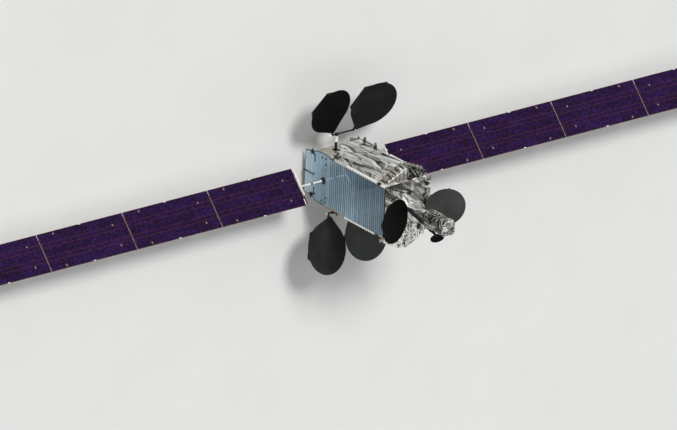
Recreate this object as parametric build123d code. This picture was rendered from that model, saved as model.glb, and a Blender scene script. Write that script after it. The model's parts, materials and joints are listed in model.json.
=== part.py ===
from build123d import *
import math
import os

# Frame: +Z points at the Earth deck, the launch ring stands on z = 0, +Y is the south wing, +X is east.

# Launch ring and aft bay
ring_radius = 597.0
ring_wall = 14.0
ring_foot_lip = 10.0
ring_foot_height = 26.0
ring_height = 430.0
ring_flange_width = 24.0
bay_half_x = 720.0
bay_height = 450.0
bay_corner = 42.0

# Main engine bell inside the launch ring
bell_exit_radius = 185.0
bell_throat_radius = 28.0
bell_wall = 9.0
bell_exit_z = 35.0
bell_throat_z = 330.0
chamber_radius = 62.0

# Body: blanketed core with radiator plates on its south and north faces
aft_edge = 230.0
radiator_length = 4900.0
core_half_x = 1060.0
core_half_y = 1035.0
core_corner = 85.0
radiator_thickness = 35.0
radiator_half_x = 980.0
radiator_joint = 12.0
deck_thickness = 40.0
strip_from_bus = 1050.0
strip_from_deck = 580.0
strip_width = 100.0
strip_height = 95.0

# Bus radiator: its outline flares forward from the aft edge and steps in at the payload's
bus_radiator_length = 1400.0
bus_aft_east = 880.0
bus_aft_west = 805.0
bus_flare_east = 1090.0
bus_flare_height = 860.0
bus_joint_east = 1080.0
bus_joint_west = 1015.0
bus_step_outer = 965.0
bus_step_inner = 850.0
bus_step_high = 630.0
bus_step_low = 610.0

# Fittings on the body's edges
hold_down_height = 240.0
hold_down_foot = 150.0
hold_down_head = 70.0
hold_down_width = 60.0
hold_down_y = 900.0
hold_down_far_z = 1950.0
hold_down_near_z = 1300.0
thruster_z = 680.0
thruster_east = 1000.0
thruster_west = 850.0
thruster_box = 130.0
thruster_depth = 54.0
nozzle_length = 60.0
nozzle_radius = 26.0
feed_pipe_length = 310.0
feed_pipe_rise = 90.0
feed_pipe_size = 20.0
boom_z = 220.0
boom_length = 600.0
boom_size = 26.0
boom_x = 50.0
boom_gap = 30.0

# Solar array drive
drive_from_aft = 1140.0
wing_angle = 44.0
housing_radius = 95.0
housing_proud = 30.0
housing_recess = 50.0
shaft_radius = 50.0
shaft_clearance = 1.0
flange_radius = 62.0
flange_gap = 8.0
flange_thickness = 12.0
root_hinge_y = 1170.0
root_pin_radius = 14.0
root_lug_radius = 30.0
root_lug_half = 34.0
root_lug_length = 70.0
ear_thickness = 18.0
ear_gap = 6.0
pin_clearance = 0.05

# Yoke: tube from the root lug and a cross bar that ends short on one side
yoke_tube_radius = 30.0
yoke_collar_radius = 38.0
yoke_collar_length = 60.0
yoke_collar_y = 1600.0
yoke_bar_low = -360.0
yoke_bar_high = 610.0
yoke_bar_size = 50.0

# Wing: panels and the barrel hinges between them
first_hinge_y = 2212.0
panel_pitch = 4000.0
panel_gap = 44.0
panel_width = 1530.0
panel_thickness = 30.0
panel_count = 4
knuckle_radius = 9.0
knuckle_offset = 30.0
yoke_knuckle_offset = 45.0
yoke_stations = (-300.0, 520.0)
panel_stations = (-520.0, 520.0)
knuckle_half = 20.0
knuckle_gap = 2.0
knuckle_cheek = 18.0
knuckle_reach = 60.0
edge_bracket_low = -745.0
edge_bracket_high = -420.0
edge_bracket_depth = 52.0
edge_bracket_height = 56.0

# Reflectors: spherical shell, hexagonal back frame, arm and hub
shell_thickness = 20.0
shell_curvature = 6500.0
shell_reach = 500.0
frame_bar = 36.0
frame_depth = 54.0
frame_inset = 20.0
frame_hub_radius = 80.0
neck_radius = 90.0
neck_length = 1130.0
arm_width = 50.0
hinge_pin_radius = 16.0
hinge_hub_radius = 36.0
hinge_hub_half = 40.0
side_gap = 6.0

# Masts that carry the side reflectors
east_hinge_x = 1700.0
west_hinge_x = 1480.0
hinge_south_y = 620.0
hinge_north_y = -370.0
mast_y = 430.0
mast_drop = 140.0
mast_bar = 70.0
mast_base = 200.0
mast_base_thickness = 25.0
mast_collar = 100.0
hinge_tube_radius = 30.0
hinge_nut_radius = 25.0
hinge_nut_length = 14.0

# Earth deck: feed tower, pedestals, spot dish and small antennas
tower_x = 60.0
tower_shaft = 300.0
tower_head = 570.0
tower_corner = 90.0
tower_neck_height = 1280.0
tower_height = 2480.0
tower_horn_height = 2150.0
tip_radius = 22.0
tip_length = 90.0
pedestal_y = 900.0
pedestal_height = 580.0
pedestal_bar = 90.0
pedestal_base = 180.0
pedestal_base_thickness = 20.0
fork_depth = 68.0
fork_floor_thickness = 20.0
fork_floor_gap = 14.0
dish_radius = 270.0
dish_wall = 8.0
dish_curvature = 540.0
dish_stalk = 60.0
dish_stalk_radius = 14.0
dish_lean_x = -0.62
dish_lean_y = 0.37
dish_reach = 380.0
dish_height = 1800.0
dish_arm_size = 70.0
dish_root_x = 54.0
dish_root_y = 205.0
dish_root_height = 210.0
dish_shoulder_x = -54.0
dish_shoulder_y = 265.0
dish_shoulder_height = 890.0
dish_knee_x = -322.0
dish_knee_y = 70.0
dish_knee_height = 1200.0
dish_knee_size = 90.0
dish_hub_radius = 20.0
dish_hub_half = 24.0
dish_pin_radius = 9.0
dish_ear_thickness = 12.0
dish_ear_radius = 18.0
deck_horn_x = 880.0
deck_horn_y = -760.0
deck_horn_height = 190.0
deck_horn_post = 60.0
sensor_x = -840.0
sensor_y = -490.0
sensor_size = 150.0
unit_x = -830.0
unit_y = -120.0
unit_size_x = 340.0
unit_size_y = 460.0
unit_height = 150.0
unit_corner = 40.0

# Feed banks on the east and west faces
horn_length = 260.0
horn_mouth = 70.0
horn_throat = 32.0
horn_wall = 5.0
horn_outward = 0.44
horn_apart = 0.13
tower_horn_apart = 0.5
feed_bracket = 60.0
feed_bracket_low = 540.0
feed_bracket_high = 160.0
feed_bracket_half_y = 930.0
feed_drop = 400.0
feed_first_x = 1640.0
feed_step_x = 85.0
feed_first_y = 120.0
feed_step_y = 185.0
feeds_in_row = 5
feed_box = 80.0
feed_arm = 40.0
hood_margin = 60.0
hood_thickness = 20.0

# Overlap by which two forms of one piece are joined, or by which a cut runs past a face
lap = 1.0

drive_z = aft_edge + drive_from_aft
bay_floor = ring_height
core_floor = bay_floor + bay_height
deck_top = aft_edge + radiator_length
deck_floor = deck_top - deck_thickness
face_y = core_half_y + radiator_thickness
flange_y = face_y + housing_proud + flange_gap
mast_z = drive_z - mast_drop
pedestal_z = deck_top + pedestal_height
fork_floor_z = pedestal_z - hinge_hub_radius - fork_floor_gap
dish_pivot_x = tower_x - tower_shaft / 2 - dish_reach
dish_pivot_z = deck_top + dish_height


def save(node, *pieces):
    """Write one node; its pieces are solids on one body that do not overlap."""
    solids = [solid for piece in pieces for solid in piece.solids()]
    shape = solids[0] if len(solids) == 1 else Compound(children=solids)
    export_step(shape, f"parts/{node}.step")


def block(x, y, z):
    """Box from its two limits along each axis, in either order."""
    spans = [sorted(limits) for limits in (x, y, z)]
    size = [high - low for low, high in spans]
    middle = [(high + low) / 2 for low, high in spans]
    return Pos(*middle) * Box(*size)


def centred(x, y, z, size_x, size_y, size_z):
    """Box from its middle and its sizes."""
    return Pos(x, y, z) * Box(size_x, size_y, size_z)


def rod(start, end, radius):
    """Round bar between two points."""
    start, end = Vector(*start), Vector(*end)
    run = end - start
    return Plane(origin=start, z_dir=run) * Pos(0, 0, run.length / 2) * Cylinder(radius, run.length)


def rod_x(x, y, z, radius):
    """Round bar along X between the two limits in x."""
    return rod((x[0], y, z), (x[1], y, z), radius)


def rod_y(x, y, z, radius):
    """Round bar along Y between the two limits in y."""
    return rod((x, y[0], z), (x, y[1], z), radius)


def bar(start, end, size, up=(0, 0, 1)):
    """Square bar between two points; one of its sides faces up."""
    start, end = Vector(*start), Vector(*end)
    run = end - start
    across = Vector(*up).cross(run).normalized()
    plane = Plane(origin=start, x_dir=across, z_dir=run)
    return plane * Pos(0, 0, run.length / 2) * Box(size, size, run.length)


def both_sides(shape, plane=Plane.XZ):
    """The shape and its mirror image."""
    return [shape, mirror(shape, about=plane)]


def four_corners(shape):
    """The shape at the body's four long edges."""
    return [piece for half in both_sides(shape) for piece in both_sides(half, Plane.YZ)]


def flat_ring(outer, bar_width):
    """Six-sided ring on the XY plane, from its corner radius and the width of its bars."""
    return RegularPolygon(outer, 6) - RegularPolygon(outer - bar_width / math.cos(math.pi / 6), 6)


def launch_ring():
    """Foot for the clamp band, thin wall and a top flange under the bay."""
    inner = ring_radius - ring_wall
    foot = ring_radius + ring_foot_lip
    flange = ring_radius + ring_flange_width
    flange_z = ring_height - ring_flange_width
    profile = [
        (inner, 0), (foot, 0), (foot, ring_foot_height), (ring_radius, ring_foot_height + ring_foot_lip),
        (ring_radius, flange_z), (flange, flange_z), (flange, ring_height), (inner, ring_height),
    ]
    return revolve(make_face(Plane.XZ * Polyline(*profile, close=True)), axis=Axis.Z)


def main_engine():
    """Bell nozzle of conical bands with a straight chamber above its throat."""
    # radius as a share of the exit's, height as a share of the way to the throat
    bands = [(1.0, 0.0), (0.74, 0.5)]
    rise = bell_throat_z - bell_exit_z
    chamber_floor = ring_height - chamber_radius
    inside = [(bell_exit_radius * share, bell_exit_z + rise * height) for share, height in bands]
    inside += [(bell_throat_radius, bell_throat_z), (bell_throat_radius, chamber_floor)]
    outside = [(chamber_radius, ring_height), (chamber_radius, bell_throat_z + bell_wall)]
    outside += [(radius + bell_wall, z) for radius, z in reversed(inside[:-1])]
    profile = [*inside, (0, chamber_floor), (0, ring_height), *outside]
    return revolve(make_face(Plane.XZ * Polyline(*profile, close=True)), axis=Axis.Z)


def core():
    """Blanketed body with its four long corners cut back."""
    body = block((-core_half_x, core_half_x), (-core_half_y, core_half_y), (core_floor, deck_floor))
    return chamfer(body.edges().filter_by(Axis.Z), core_corner)


def aft_bay():
    """Narrow bay between the radiators that carries the ring and the tanks."""
    body = block((-bay_half_x, bay_half_x), (-core_half_y, core_half_y), (bay_floor, core_floor))
    return chamfer(body.edges().filter_by(Axis.Z), bay_corner)


def plate_south(points):
    """Plate of the radiators' thickness on the core's south face, from (x, z) points."""
    face = make_face(Plane.XZ.offset(-core_half_y) * Polyline(*points, close=True))
    return extrude(face, amount=-radiator_thickness)


def bus_radiator():
    """South bus radiator: its edges flare forward from the aft edge and step in at the payload's."""
    # x, height above the aft edge
    outline = [
        (-bus_aft_west, 0), (bus_aft_east, 0), (bus_flare_east, bus_flare_height),
        (bus_joint_east, bus_radiator_length), (-bus_joint_west, bus_radiator_length),
        (-bus_step_outer, bus_step_high), (-bus_step_inner, bus_step_low),
    ]
    plate = plate_south([(x, aft_edge + height) for x, height in outline])
    return plate - rod_y(0, (core_half_y - lap, face_y + lap), drive_z, housing_radius)


def payload_radiator():
    """South payload radiator, from the bus radiator to the Earth deck."""
    start = aft_edge + bus_radiator_length + radiator_joint
    return plate_south([
        (-radiator_half_x, start), (radiator_half_x, start),
        (radiator_half_x, deck_floor), (-radiator_half_x, deck_floor),
    ])


def edge_strip():
    """Shear strip beside a payload radiator's long edge, on the core's cut corner."""
    x = (radiator_half_x, radiator_half_x + strip_height)
    z = (aft_edge + bus_radiator_length + strip_from_bus, deck_top - strip_from_deck)
    return block(x, (face_y - strip_width, face_y), z) - core()


def hold_down(side_x, side_y, z):
    """Tapered bracket on an east or west face that holds a stowed reflector."""
    foot, head = hold_down_foot / 2, hold_down_head / 2
    x = side_x * core_half_x
    tip_x = side_x * (core_half_x + hold_down_height)
    profile = [(x, z - foot), (tip_x, z - head), (tip_x, z + head), (x, z + foot)]
    start_y = side_y * hold_down_y - hold_down_width / 2
    face = make_face(Plane.XZ.offset(-start_y) * Polyline(*profile, close=True))
    return extrude(face, amount=-hold_down_width)


def hold_downs():
    """Hold-down brackets of the four side reflectors."""
    # side along x, side along y, height
    places = [
        (1, 1, hold_down_far_z), (1, -1, hold_down_far_z), (1, -1, hold_down_near_z),
        (-1, 1, hold_down_far_z), (-1, -1, hold_down_far_z), (-1, -1, hold_down_near_z),
    ]
    return [hold_down(*place) for place in places]


def thruster_pod(side, edge):
    """Flat pod on the south bus radiator near its east (1) or west (-1) edge, with a nozzle and a pipe."""
    top = thruster_z + thruster_box / 2
    pipe_y = (face_y, face_y + feed_pipe_size)
    pipe_x = edge - thruster_box
    pipe_top = top + feed_pipe_rise
    pod_z = (thruster_z - thruster_box / 2, top)
    pod = block((side * pipe_x, side * edge), (face_y, face_y + thruster_depth), pod_z)
    nozzle_x = (side * edge, side * (edge + nozzle_length))
    pod += rod_x(nozzle_x, face_y + thruster_depth / 2, thruster_z, nozzle_radius)
    pod += block((side * pipe_x, side * (pipe_x + feed_pipe_size)), pipe_y, (top - lap, pipe_top))
    return pod + block(
        (side * (pipe_x + feed_pipe_size), side * (pipe_x + feed_pipe_size - feed_pipe_length)),
        pipe_y, (pipe_top - feed_pipe_size, pipe_top),
    )


def aft_boom():
    """Thin dark bar that stands off the bus radiator on two feet and reaches past its aft edge."""
    y = face_y + boom_gap
    rail = block((boom_x, boom_x + boom_size), (y, y + boom_size), (boom_z, boom_z + boom_length))
    for z in (aft_edge + boom_size, boom_z + boom_length - 2 * boom_size):
        rail += block((boom_x, boom_x + boom_size), (face_y, y + lap), (z, z + boom_size))
    return rail


def drive_housing():
    """South drive housing: a cup around the shaft, seated in the radiator's hole."""
    outer = rod_y(0, (core_half_y, face_y + housing_proud), drive_z, housing_radius)
    floor_y = face_y + housing_proud - housing_recess
    return outer - rod_y(0, (floor_y, face_y + housing_proud + lap), drive_z, shaft_radius + shaft_clearance)


def wing_place(shape):
    """Turn a shape from the wing's own frame to its drive angle."""
    return Location((0, 0, drive_z)) * Rot(0, wing_angle, 0) * shape


def save_wing_piece(node, shape):
    """Write a wing piece for the south side and its mirror image for the north."""
    south = wing_place(shape)
    save("south_" + node, south)
    save("north_" + node, mirror(south, about=Plane.XZ))


def drive_shaft():
    """Output shaft, flange and the clevis that holds the yoke's root pin."""
    shaft_start = face_y + housing_proud - housing_recess + flange_gap
    shaft = rod_y(0, (shaft_start, flange_y), 0, shaft_radius)
    shaft += rod_y(0, (flange_y, flange_y + flange_thickness), 0, flange_radius)
    inner = root_lug_half + ear_gap
    reach = inner + ear_thickness
    ear_y = (flange_y + flange_thickness - lap, root_hinge_y)
    for side in (-1, 1):
        ear_x = (side * inner, side * reach)
        shaft += block(ear_x, ear_y, (-root_lug_radius, root_lug_radius))
        shaft += rod_x(ear_x, root_hinge_y, 0, root_lug_radius)
    return shaft + rod_x((-reach, reach), root_hinge_y, 0, root_pin_radius)


def barrel(x, back_y, face_z, hinge):
    """One leaf of a hinge and its barrel, which spans x; the leaf lies on a face and reaches back."""
    hinge_line_y, hinge_z = hinge
    leaf = block(x, (back_y, hinge_line_y), (face_z, hinge_z))
    return leaf + rod_x(x, hinge_line_y, hinge_z, knuckle_radius)


def inboard_barrels(stations, edge_y, face_z, hinge):
    """Middle barrels of one hinge line, on the piece nearer the body."""
    spans = [(station - knuckle_half, station + knuckle_half) for station in stations]
    return [barrel(span, edge_y - knuckle_reach, face_z, hinge) for span in spans]


def outboard_barrels(stations, edge_y, face_z, hinge):
    """Pairs of outer barrels of one hinge line, on the piece further from the body."""
    inner = knuckle_half + knuckle_gap
    outer = inner + knuckle_cheek
    spans = [(station + side * inner, station + side * outer) for station in stations for side in (-1, 1)]
    return [barrel(span, edge_y + knuckle_reach, face_z, hinge) for span in spans]


def wing_hinges():
    """(y, z) of each hinge line in the wing's frame, the yoke's first; they take turns between the faces."""
    lines = [(first_hinge_y, yoke_knuckle_offset)]
    for line in range(1, panel_count):
        lines.append((first_hinge_y + line * panel_pitch, knuckle_offset * (-1) ** line))
    return lines


def yoke():
    """Root lug, tube with a collar, and the cross bar that carries the first panel."""
    bar_outer = first_hinge_y - panel_gap / 2
    bar_inner = bar_outer - yoke_bar_size
    half = yoke_bar_size / 2
    lug_x = (-root_lug_half, root_lug_half)
    lug_y = (root_hinge_y, root_hinge_y + root_lug_length)
    shape = block(lug_x, lug_y, (-root_lug_radius, root_lug_radius))
    shape += rod_x(lug_x, root_hinge_y, 0, root_lug_radius)
    shape -= rod_x((lug_x[0] - lap, lug_x[1] + lap), root_hinge_y, 0, root_pin_radius + pin_clearance)
    shape += rod_y(0, (root_hinge_y + root_lug_length, bar_inner), 0, yoke_tube_radius)
    shape += rod_y(0, (yoke_collar_y, yoke_collar_y + yoke_collar_length), 0, yoke_collar_radius)
    shape += block((yoke_bar_low, yoke_bar_high), (bar_inner, bar_outer), (-half, half))
    for piece in inboard_barrels(yoke_stations, bar_outer, half, wing_hinges()[0]):
        shape += piece
    return shape


def panel(number):
    """Solar panel with the barrels of the hinge line at each end."""
    hinges = wing_hinges()
    inner = first_hinge_y + number * panel_pitch + panel_gap / 2
    outer = inner + panel_pitch - panel_gap
    half_z = panel_thickness / 2
    shape = block((-panel_width / 2, panel_width / 2), (inner, outer), (-half_z, half_z))
    if number == 0:
        bracket_x = (edge_bracket_low, edge_bracket_high)
        bracket_z = edge_bracket_height / 2
        shape += block(bracket_x, (inner - edge_bracket_depth, inner), (-bracket_z, bracket_z))
    stations = yoke_stations if number == 0 else panel_stations
    hinge = hinges[number]
    for piece in outboard_barrels(stations, inner, math.copysign(half_z, hinge[1]), hinge):
        shape += piece
    if number + 1 < panel_count:
        hinge = hinges[number + 1]
        for piece in inboard_barrels(panel_stations, outer, math.copysign(half_z, hinge[1]), hinge):
            shape += piece
    return shape


# Hinge points of the reflectors
east_south_hinge = (east_hinge_x, hinge_south_y, mast_z)
east_north_hinge = (east_hinge_x, hinge_north_y, mast_z)
west_south_hinge = (-west_hinge_x, hinge_south_y, mast_z)
west_north_hinge = (-west_hinge_x, hinge_north_y, mast_z)
deck_south_hinge = (0, pedestal_y, pedestal_z)
deck_north_hinge = (0, -pedestal_y, pedestal_z)

# Reflectors: the shell's vertex, where its normal leans, and its rim radius
reflectors = [
    # node, x, y, z, lean x, lean y, rim radius, has a neck, hinge point, hinge axis
    ("east_south", 2960, 1128, drive_z + 270, -0.30, -0.11, 955, True, east_south_hinge, "Y"),
    ("east_north", 2811, -945, drive_z + 250, -0.32, 0.09, 1000, True, east_north_hinge, "Y"),
    ("west_south", -2663, 1063, drive_z + 320, 0.33, -0.16, 1000, True, west_south_hinge, "Y"),
    ("west_north", -2590, -890, drive_z + 220, 0.32, 0.02, 975, True, west_north_hinge, "Y"),
    ("deck_south", 46, 1292, pedestal_z + 280, 0.02, -0.36, 860, False, deck_south_hinge, "X"),
    ("deck_north", 90, -1106, pedestal_z + 280, -0.10, 0.47, 790, False, deck_north_hinge, "X"),
]


def reflector_plane(centre, lean, neck_towards):
    """Plane at the shell's vertex: z along its normal, x towards its neck."""
    normal = Vector(lean[0], lean[1], 1).normalized()
    towards = Vector(*neck_towards) - Vector(*centre)
    flat = towards - normal * towards.dot(normal)
    return Plane(origin=centre, x_dir=flat, z_dir=normal)


def neck_outline(rim):
    """Circle of the rim drawn out to a small round neck by its two tangents."""
    swing = math.acos((rim - neck_radius) / neck_length)
    rim_x, rim_y = rim * math.cos(swing), rim * math.sin(swing)
    tip_x, tip_y = neck_length + neck_radius * math.cos(swing), neck_radius * math.sin(swing)
    return make_face([
        ThreePointArc((rim_x, rim_y), (-rim, 0), (rim_x, -rim_y)),
        Line((rim_x, -rim_y), (tip_x, -tip_y)),
        ThreePointArc((tip_x, -tip_y), (neck_length + neck_radius, 0), (tip_x, tip_y)),
        Line((tip_x, tip_y), (rim_x, rim_y)),
    ])


def ball(radius, centre_z):
    """Sphere on the local z axis, turned so that its lowest point is far from its poles and seam."""
    return Pos(0, 0, centre_z) * Rot(0, -90, 0) * Sphere(radius)


def shell(rim, has_neck):
    """Spherical shell cut to its outline, its vertex at the origin."""
    outline = neck_outline(rim) if has_neck else Circle(rim)
    prism = extrude(outline, amount=shell_reach, both=True)
    back = ball(shell_curvature + shell_thickness, shell_curvature)
    return (back & prism) - ball(shell_curvature, shell_curvature)


def back_frame(rim):
    """Hexagonal frame of ribs bonded to the shell's back: ring, hub and six spokes, flat at the rear."""
    z_low = -shell_thickness - frame_depth
    height = shell_reach - z_low
    corner_radius = rim - frame_inset
    frame = extrude(Pos(0, 0, z_low) * flat_ring(corner_radius, frame_bar), amount=height)
    frame += extrude(Pos(0, 0, z_low) * RegularPolygon(frame_hub_radius, 6), amount=height)
    spoke = block((0, corner_radius - frame_bar), (-frame_bar / 2, frame_bar / 2), (z_low, shell_reach))
    for turn in range(6):
        frame += Rot(0, 0, 60 * turn) * spoke
    return frame - ball(shell_curvature + shell_thickness, shell_curvature)


def reflector(row):
    """Shell and back frame of one reflector, with the arm and hub that ride on its hinge."""
    name, x, y, z, lean_x, lean_y, rim, has_neck, hinge, axis = row
    plane = reflector_plane((x, y, z), (lean_x, lean_y), hinge)
    frame_z = -shell_thickness - frame_depth + arm_width / 2 - lap
    arm_start = rim - frame_bar if has_neck else 0
    anchor = plane.from_local_coords(Vector(arm_start, 0, frame_z))
    direction = Vector(1, 0, 0) if axis == "X" else Vector(0, 1, 0)
    start = Vector(*hinge) - direction * hinge_hub_half
    end = Vector(*hinge) + direction * hinge_hub_half
    body = plane * back_frame(rim) + bar(tuple(anchor), hinge, arm_width, tuple(direction))
    body += rod(tuple(start), tuple(end), hinge_hub_radius)
    past = direction * lap
    body -= rod(tuple(start - past), tuple(end + past), hinge_pin_radius + pin_clearance)
    return plane * shell(rim, has_neck), body


def reflector_mast(side, hinge_x):
    """East (1) or west (-1) mast: a square column off the core and a hinge tube with a pin at each end."""
    x = side * hinge_x
    root = side * core_half_x
    clear = hinge_hub_half + side_gap
    tube_y = (hinge_north_y + clear, hinge_south_y - clear)
    mast = bar((root, mast_y, mast_z), (x, mast_y, mast_z), mast_bar)
    mast += centred(
        root + side * mast_base_thickness / 2, mast_y, mast_z, mast_base_thickness, mast_base, mast_base
    )
    mast += centred(x, mast_y, mast_z, mast_collar, mast_collar, mast_collar)
    mast += rod_y(x, tube_y, mast_z, hinge_tube_radius)
    nuts = [(hinge_south_y + clear, 1), (hinge_north_y - clear, -1)]
    mast += rod_y(x, (nuts[1][0], nuts[0][0]), mast_z, hinge_pin_radius)
    for y, away in nuts:
        mast += rod_y(x, (y, y + away * hinge_nut_length), mast_z, hinge_nut_radius)
    return mast


def pedestal():
    """South pedestal on the Earth deck: a column, a fork and the pin of the deck reflector."""
    inner = hinge_hub_half + side_gap
    outer = inner + ear_thickness
    fork_y = (pedestal_y - fork_depth / 2, pedestal_y + fork_depth / 2)
    column_height = fork_floor_z - deck_top
    base_z = deck_top + pedestal_base_thickness / 2
    shape = centred(0, pedestal_y, deck_top + column_height / 2, pedestal_bar, pedestal_bar, column_height)
    shape += centred(0, pedestal_y, base_z, pedestal_base, pedestal_base, pedestal_base_thickness)
    shape += block((-outer, outer), fork_y, (fork_floor_z - fork_floor_thickness, fork_floor_z))
    for side in (-1, 1):
        ear_x = (side * inner, side * outer)
        shape += block(ear_x, fork_y, (fork_floor_z - lap, pedestal_z))
        shape += rod_x(ear_x, pedestal_y, pedestal_z, fork_depth / 2)
    return shape + rod_x((-outer, outer), pedestal_y, pedestal_z, hinge_pin_radius)


def pyramid(throat, mouth, length):
    """Square pyramid frustum along z from its throat at the origin to its mouth; both are half widths."""
    profile = Polyline((-throat, 0), (throat, 0), (mouth, length), (-mouth, length), close=True)
    wedge = extrude(make_face(Plane.XZ * profile), amount=mouth, both=True)
    return wedge & Rot(0, 0, 90) * wedge


def horn(mouth, towards):
    """Open pyramidal horn whose mouth is at a point and looks along a direction."""
    towards = Vector(*towards).normalized()
    place = Plane(origin=Vector(*mouth) - towards * horn_length, z_dir=towards)
    inner = Pos(0, 0, horn_wall) * pyramid(horn_throat - horn_wall, horn_mouth - horn_wall, horn_length)
    return place * (pyramid(horn_throat, horn_mouth, horn_length) - inner)


def feed_tower():
    """Blanketed tower between the deck reflectors: a square shaft, a wider head with two horns, a tip."""
    neck = deck_top + tower_neck_height
    top = deck_top + tower_height
    half, head = tower_shaft / 2, tower_head / 2
    crown = block((tower_x - head, tower_x + head), (-head, head), (neck, top))
    crown = chamfer(crown.edges().filter_by(Axis.Z), tower_corner)
    shape = crown + block((tower_x - half, tower_x + half), (-half, half), (deck_top, neck))
    horn_z = deck_top + tower_horn_height
    for side in (-1, 1):
        towards = Vector(0, side * tower_horn_apart, -1).normalized()
        throat = Vector(tower_x, side * (head + feed_box / 2), horn_z)
        shape += centred(throat.X, throat.Y, throat.Z, feed_box, feed_box, feed_box)
        shape += horn(tuple(throat + towards * horn_length), tuple(towards))
    return shape + rod((tower_x, 0, top), (tower_x, 0, top + tip_length), tip_radius)


def feed_hood(side, half, z):
    """Flat shade over one row of feeds, from the core out past the row's slanted line of boxes."""
    reach = feed_first_x - horn_length * horn_outward / math.hypot(1, horn_outward, horn_apart)
    outer = reach + feed_box / 2 + hood_margin
    length = feed_step_y * (feeds_in_row - 1) + 2 * hood_margin
    start = feed_first_y - hood_margin
    slope = feed_step_x / feed_step_y
    near = (side * (outer + hood_margin * slope), half * start)
    far = (side * (outer + (hood_margin - length) * slope), half * (start + length))
    outline = [(side * core_half_x, half * start), near, far, (side * core_half_x, half * (start + length))]
    return extrude(Pos(0, 0, z) * make_face(Polyline(*outline, close=True)), amount=hood_thickness, dir=(0, 0, 1))


def side_feeds(side):
    """Bracket on the east (1) or west (-1) face with a row of horns for each reflector, most under a hood."""
    bracket_x = side * (core_half_x + feed_bracket)
    low, high = deck_floor - feed_bracket_low, deck_floor - feed_bracket_high
    shape = block((side * core_half_x, bracket_x), (-feed_bracket_half_y, feed_bracket_half_y), (low, high))
    for half in (-1, 1):
        towards = Vector(side * horn_outward, half * horn_apart, -1).normalized()
        for k in range(feeds_in_row):
            tip_x = side * (feed_first_x - feed_step_x * k)
            tip_y = half * (feed_first_y + feed_step_y * k)
            mouth = Vector(tip_x, tip_y, deck_floor - feed_drop)
            back = mouth - towards * horn_length
            box = centred(back.X, back.Y, back.Z + feed_box / 2, feed_box, feed_box, feed_box)
            arm = block(
                (bracket_x - side * lap, back.X), (back.Y - feed_arm / 2, back.Y + feed_arm / 2),
                (back.Z, back.Z + feed_arm),
            )
            shape += horn(tuple(mouth), tuple(towards)) + box + arm
        if side < 0 or half < 0:
            shape += feed_hood(side, half, back.Z + feed_box)
    return shape


def dish_arm():
    """Bent arm off the tower's south side, round under its head; its fork holds the spot dish's pin."""
    half = dish_arm_size / 2
    fork_floor = dish_pivot_z - dish_hub_radius - fork_floor_gap
    root = (tower_x + dish_root_x, dish_root_y, deck_top + dish_root_height)
    shoulder = (tower_x + dish_shoulder_x, dish_shoulder_y, deck_top + dish_shoulder_height)
    knee = (tower_x + dish_knee_x, dish_knee_y, deck_top + dish_knee_height)
    fork = (dish_pivot_x, 0, fork_floor - half)
    inner = dish_hub_half + side_gap
    outer = inner + dish_ear_thickness
    fork_x = (dish_pivot_x - dish_ear_radius, dish_pivot_x + dish_ear_radius)
    root_y = (tower_shaft / 2, dish_root_y + half)
    arm = block((root[0] - half, root[0] + half), root_y, (root[2] - half, root[2] + half))
    for start, end in ((root, shoulder), (shoulder, knee), (knee, fork)):
        arm += bar(start, end, dish_arm_size)
    for bend in (shoulder, knee):
        arm += centred(*bend, dish_knee_size, dish_knee_size, dish_knee_size)
    arm += block(fork_x, (-outer, outer), (fork_floor - half, fork_floor))
    for side in (-1, 1):
        ear_y = (side * inner, side * outer)
        arm += block(fork_x, ear_y, (fork_floor - lap, dish_pivot_z))
        arm += rod_y(dish_pivot_x, ear_y, dish_pivot_z, dish_ear_radius)
    return arm + rod_y(dish_pivot_x, (-outer, outer), dish_pivot_z, dish_pin_radius)


def spot_dish():
    """Small round dish on a hub that turns about the fork's pin."""
    plane = Plane(origin=(dish_pivot_x, 0, dish_pivot_z), z_dir=(dish_lean_x, dish_lean_y, 1))
    base = dish_stalk + dish_wall
    disc = Pos(0, 0, base) * Cylinder(dish_radius, dish_curvature)
    bowl = ball(dish_curvature + dish_wall, base + dish_curvature) & disc
    bowl -= ball(dish_curvature, base + dish_curvature)
    stalk = rod((0, 0, 0), (0, 0, dish_stalk + dish_wall / 2), dish_stalk_radius)
    hub = rod_y(dish_pivot_x, (-dish_hub_half, dish_hub_half), dish_pivot_z, dish_hub_radius)
    bore_y = (-dish_hub_half - lap, dish_hub_half + lap)
    bore = rod_y(dish_pivot_x, bore_y, dish_pivot_z, dish_pin_radius + pin_clearance)
    return plane * (bowl + stalk) + hub - bore


def deck_antennas():
    """Small horn antenna, an Earth sensor and a blanketed receiver unit on the deck."""
    post_width = 2 * horn_throat
    post_z = deck_top + deck_horn_post / 2
    post = centred(deck_horn_x, deck_horn_y, post_z, post_width, post_width, deck_horn_post)
    flare = pyramid(horn_throat, horn_mouth, deck_horn_height - deck_horn_post)
    sensor = centred(sensor_x, sensor_y, deck_top + sensor_size / 2, sensor_size, sensor_size, sensor_size)
    unit = centred(unit_x, unit_y, deck_top + unit_height / 2, unit_size_x, unit_size_y, unit_height)
    unit = chamfer(unit.edges().filter_by(Axis.Z), unit_corner)
    return [post + Pos(deck_horn_x, deck_horn_y, deck_top + deck_horn_post) * flare, sensor, unit]


os.makedirs("parts", exist_ok=True)

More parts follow.
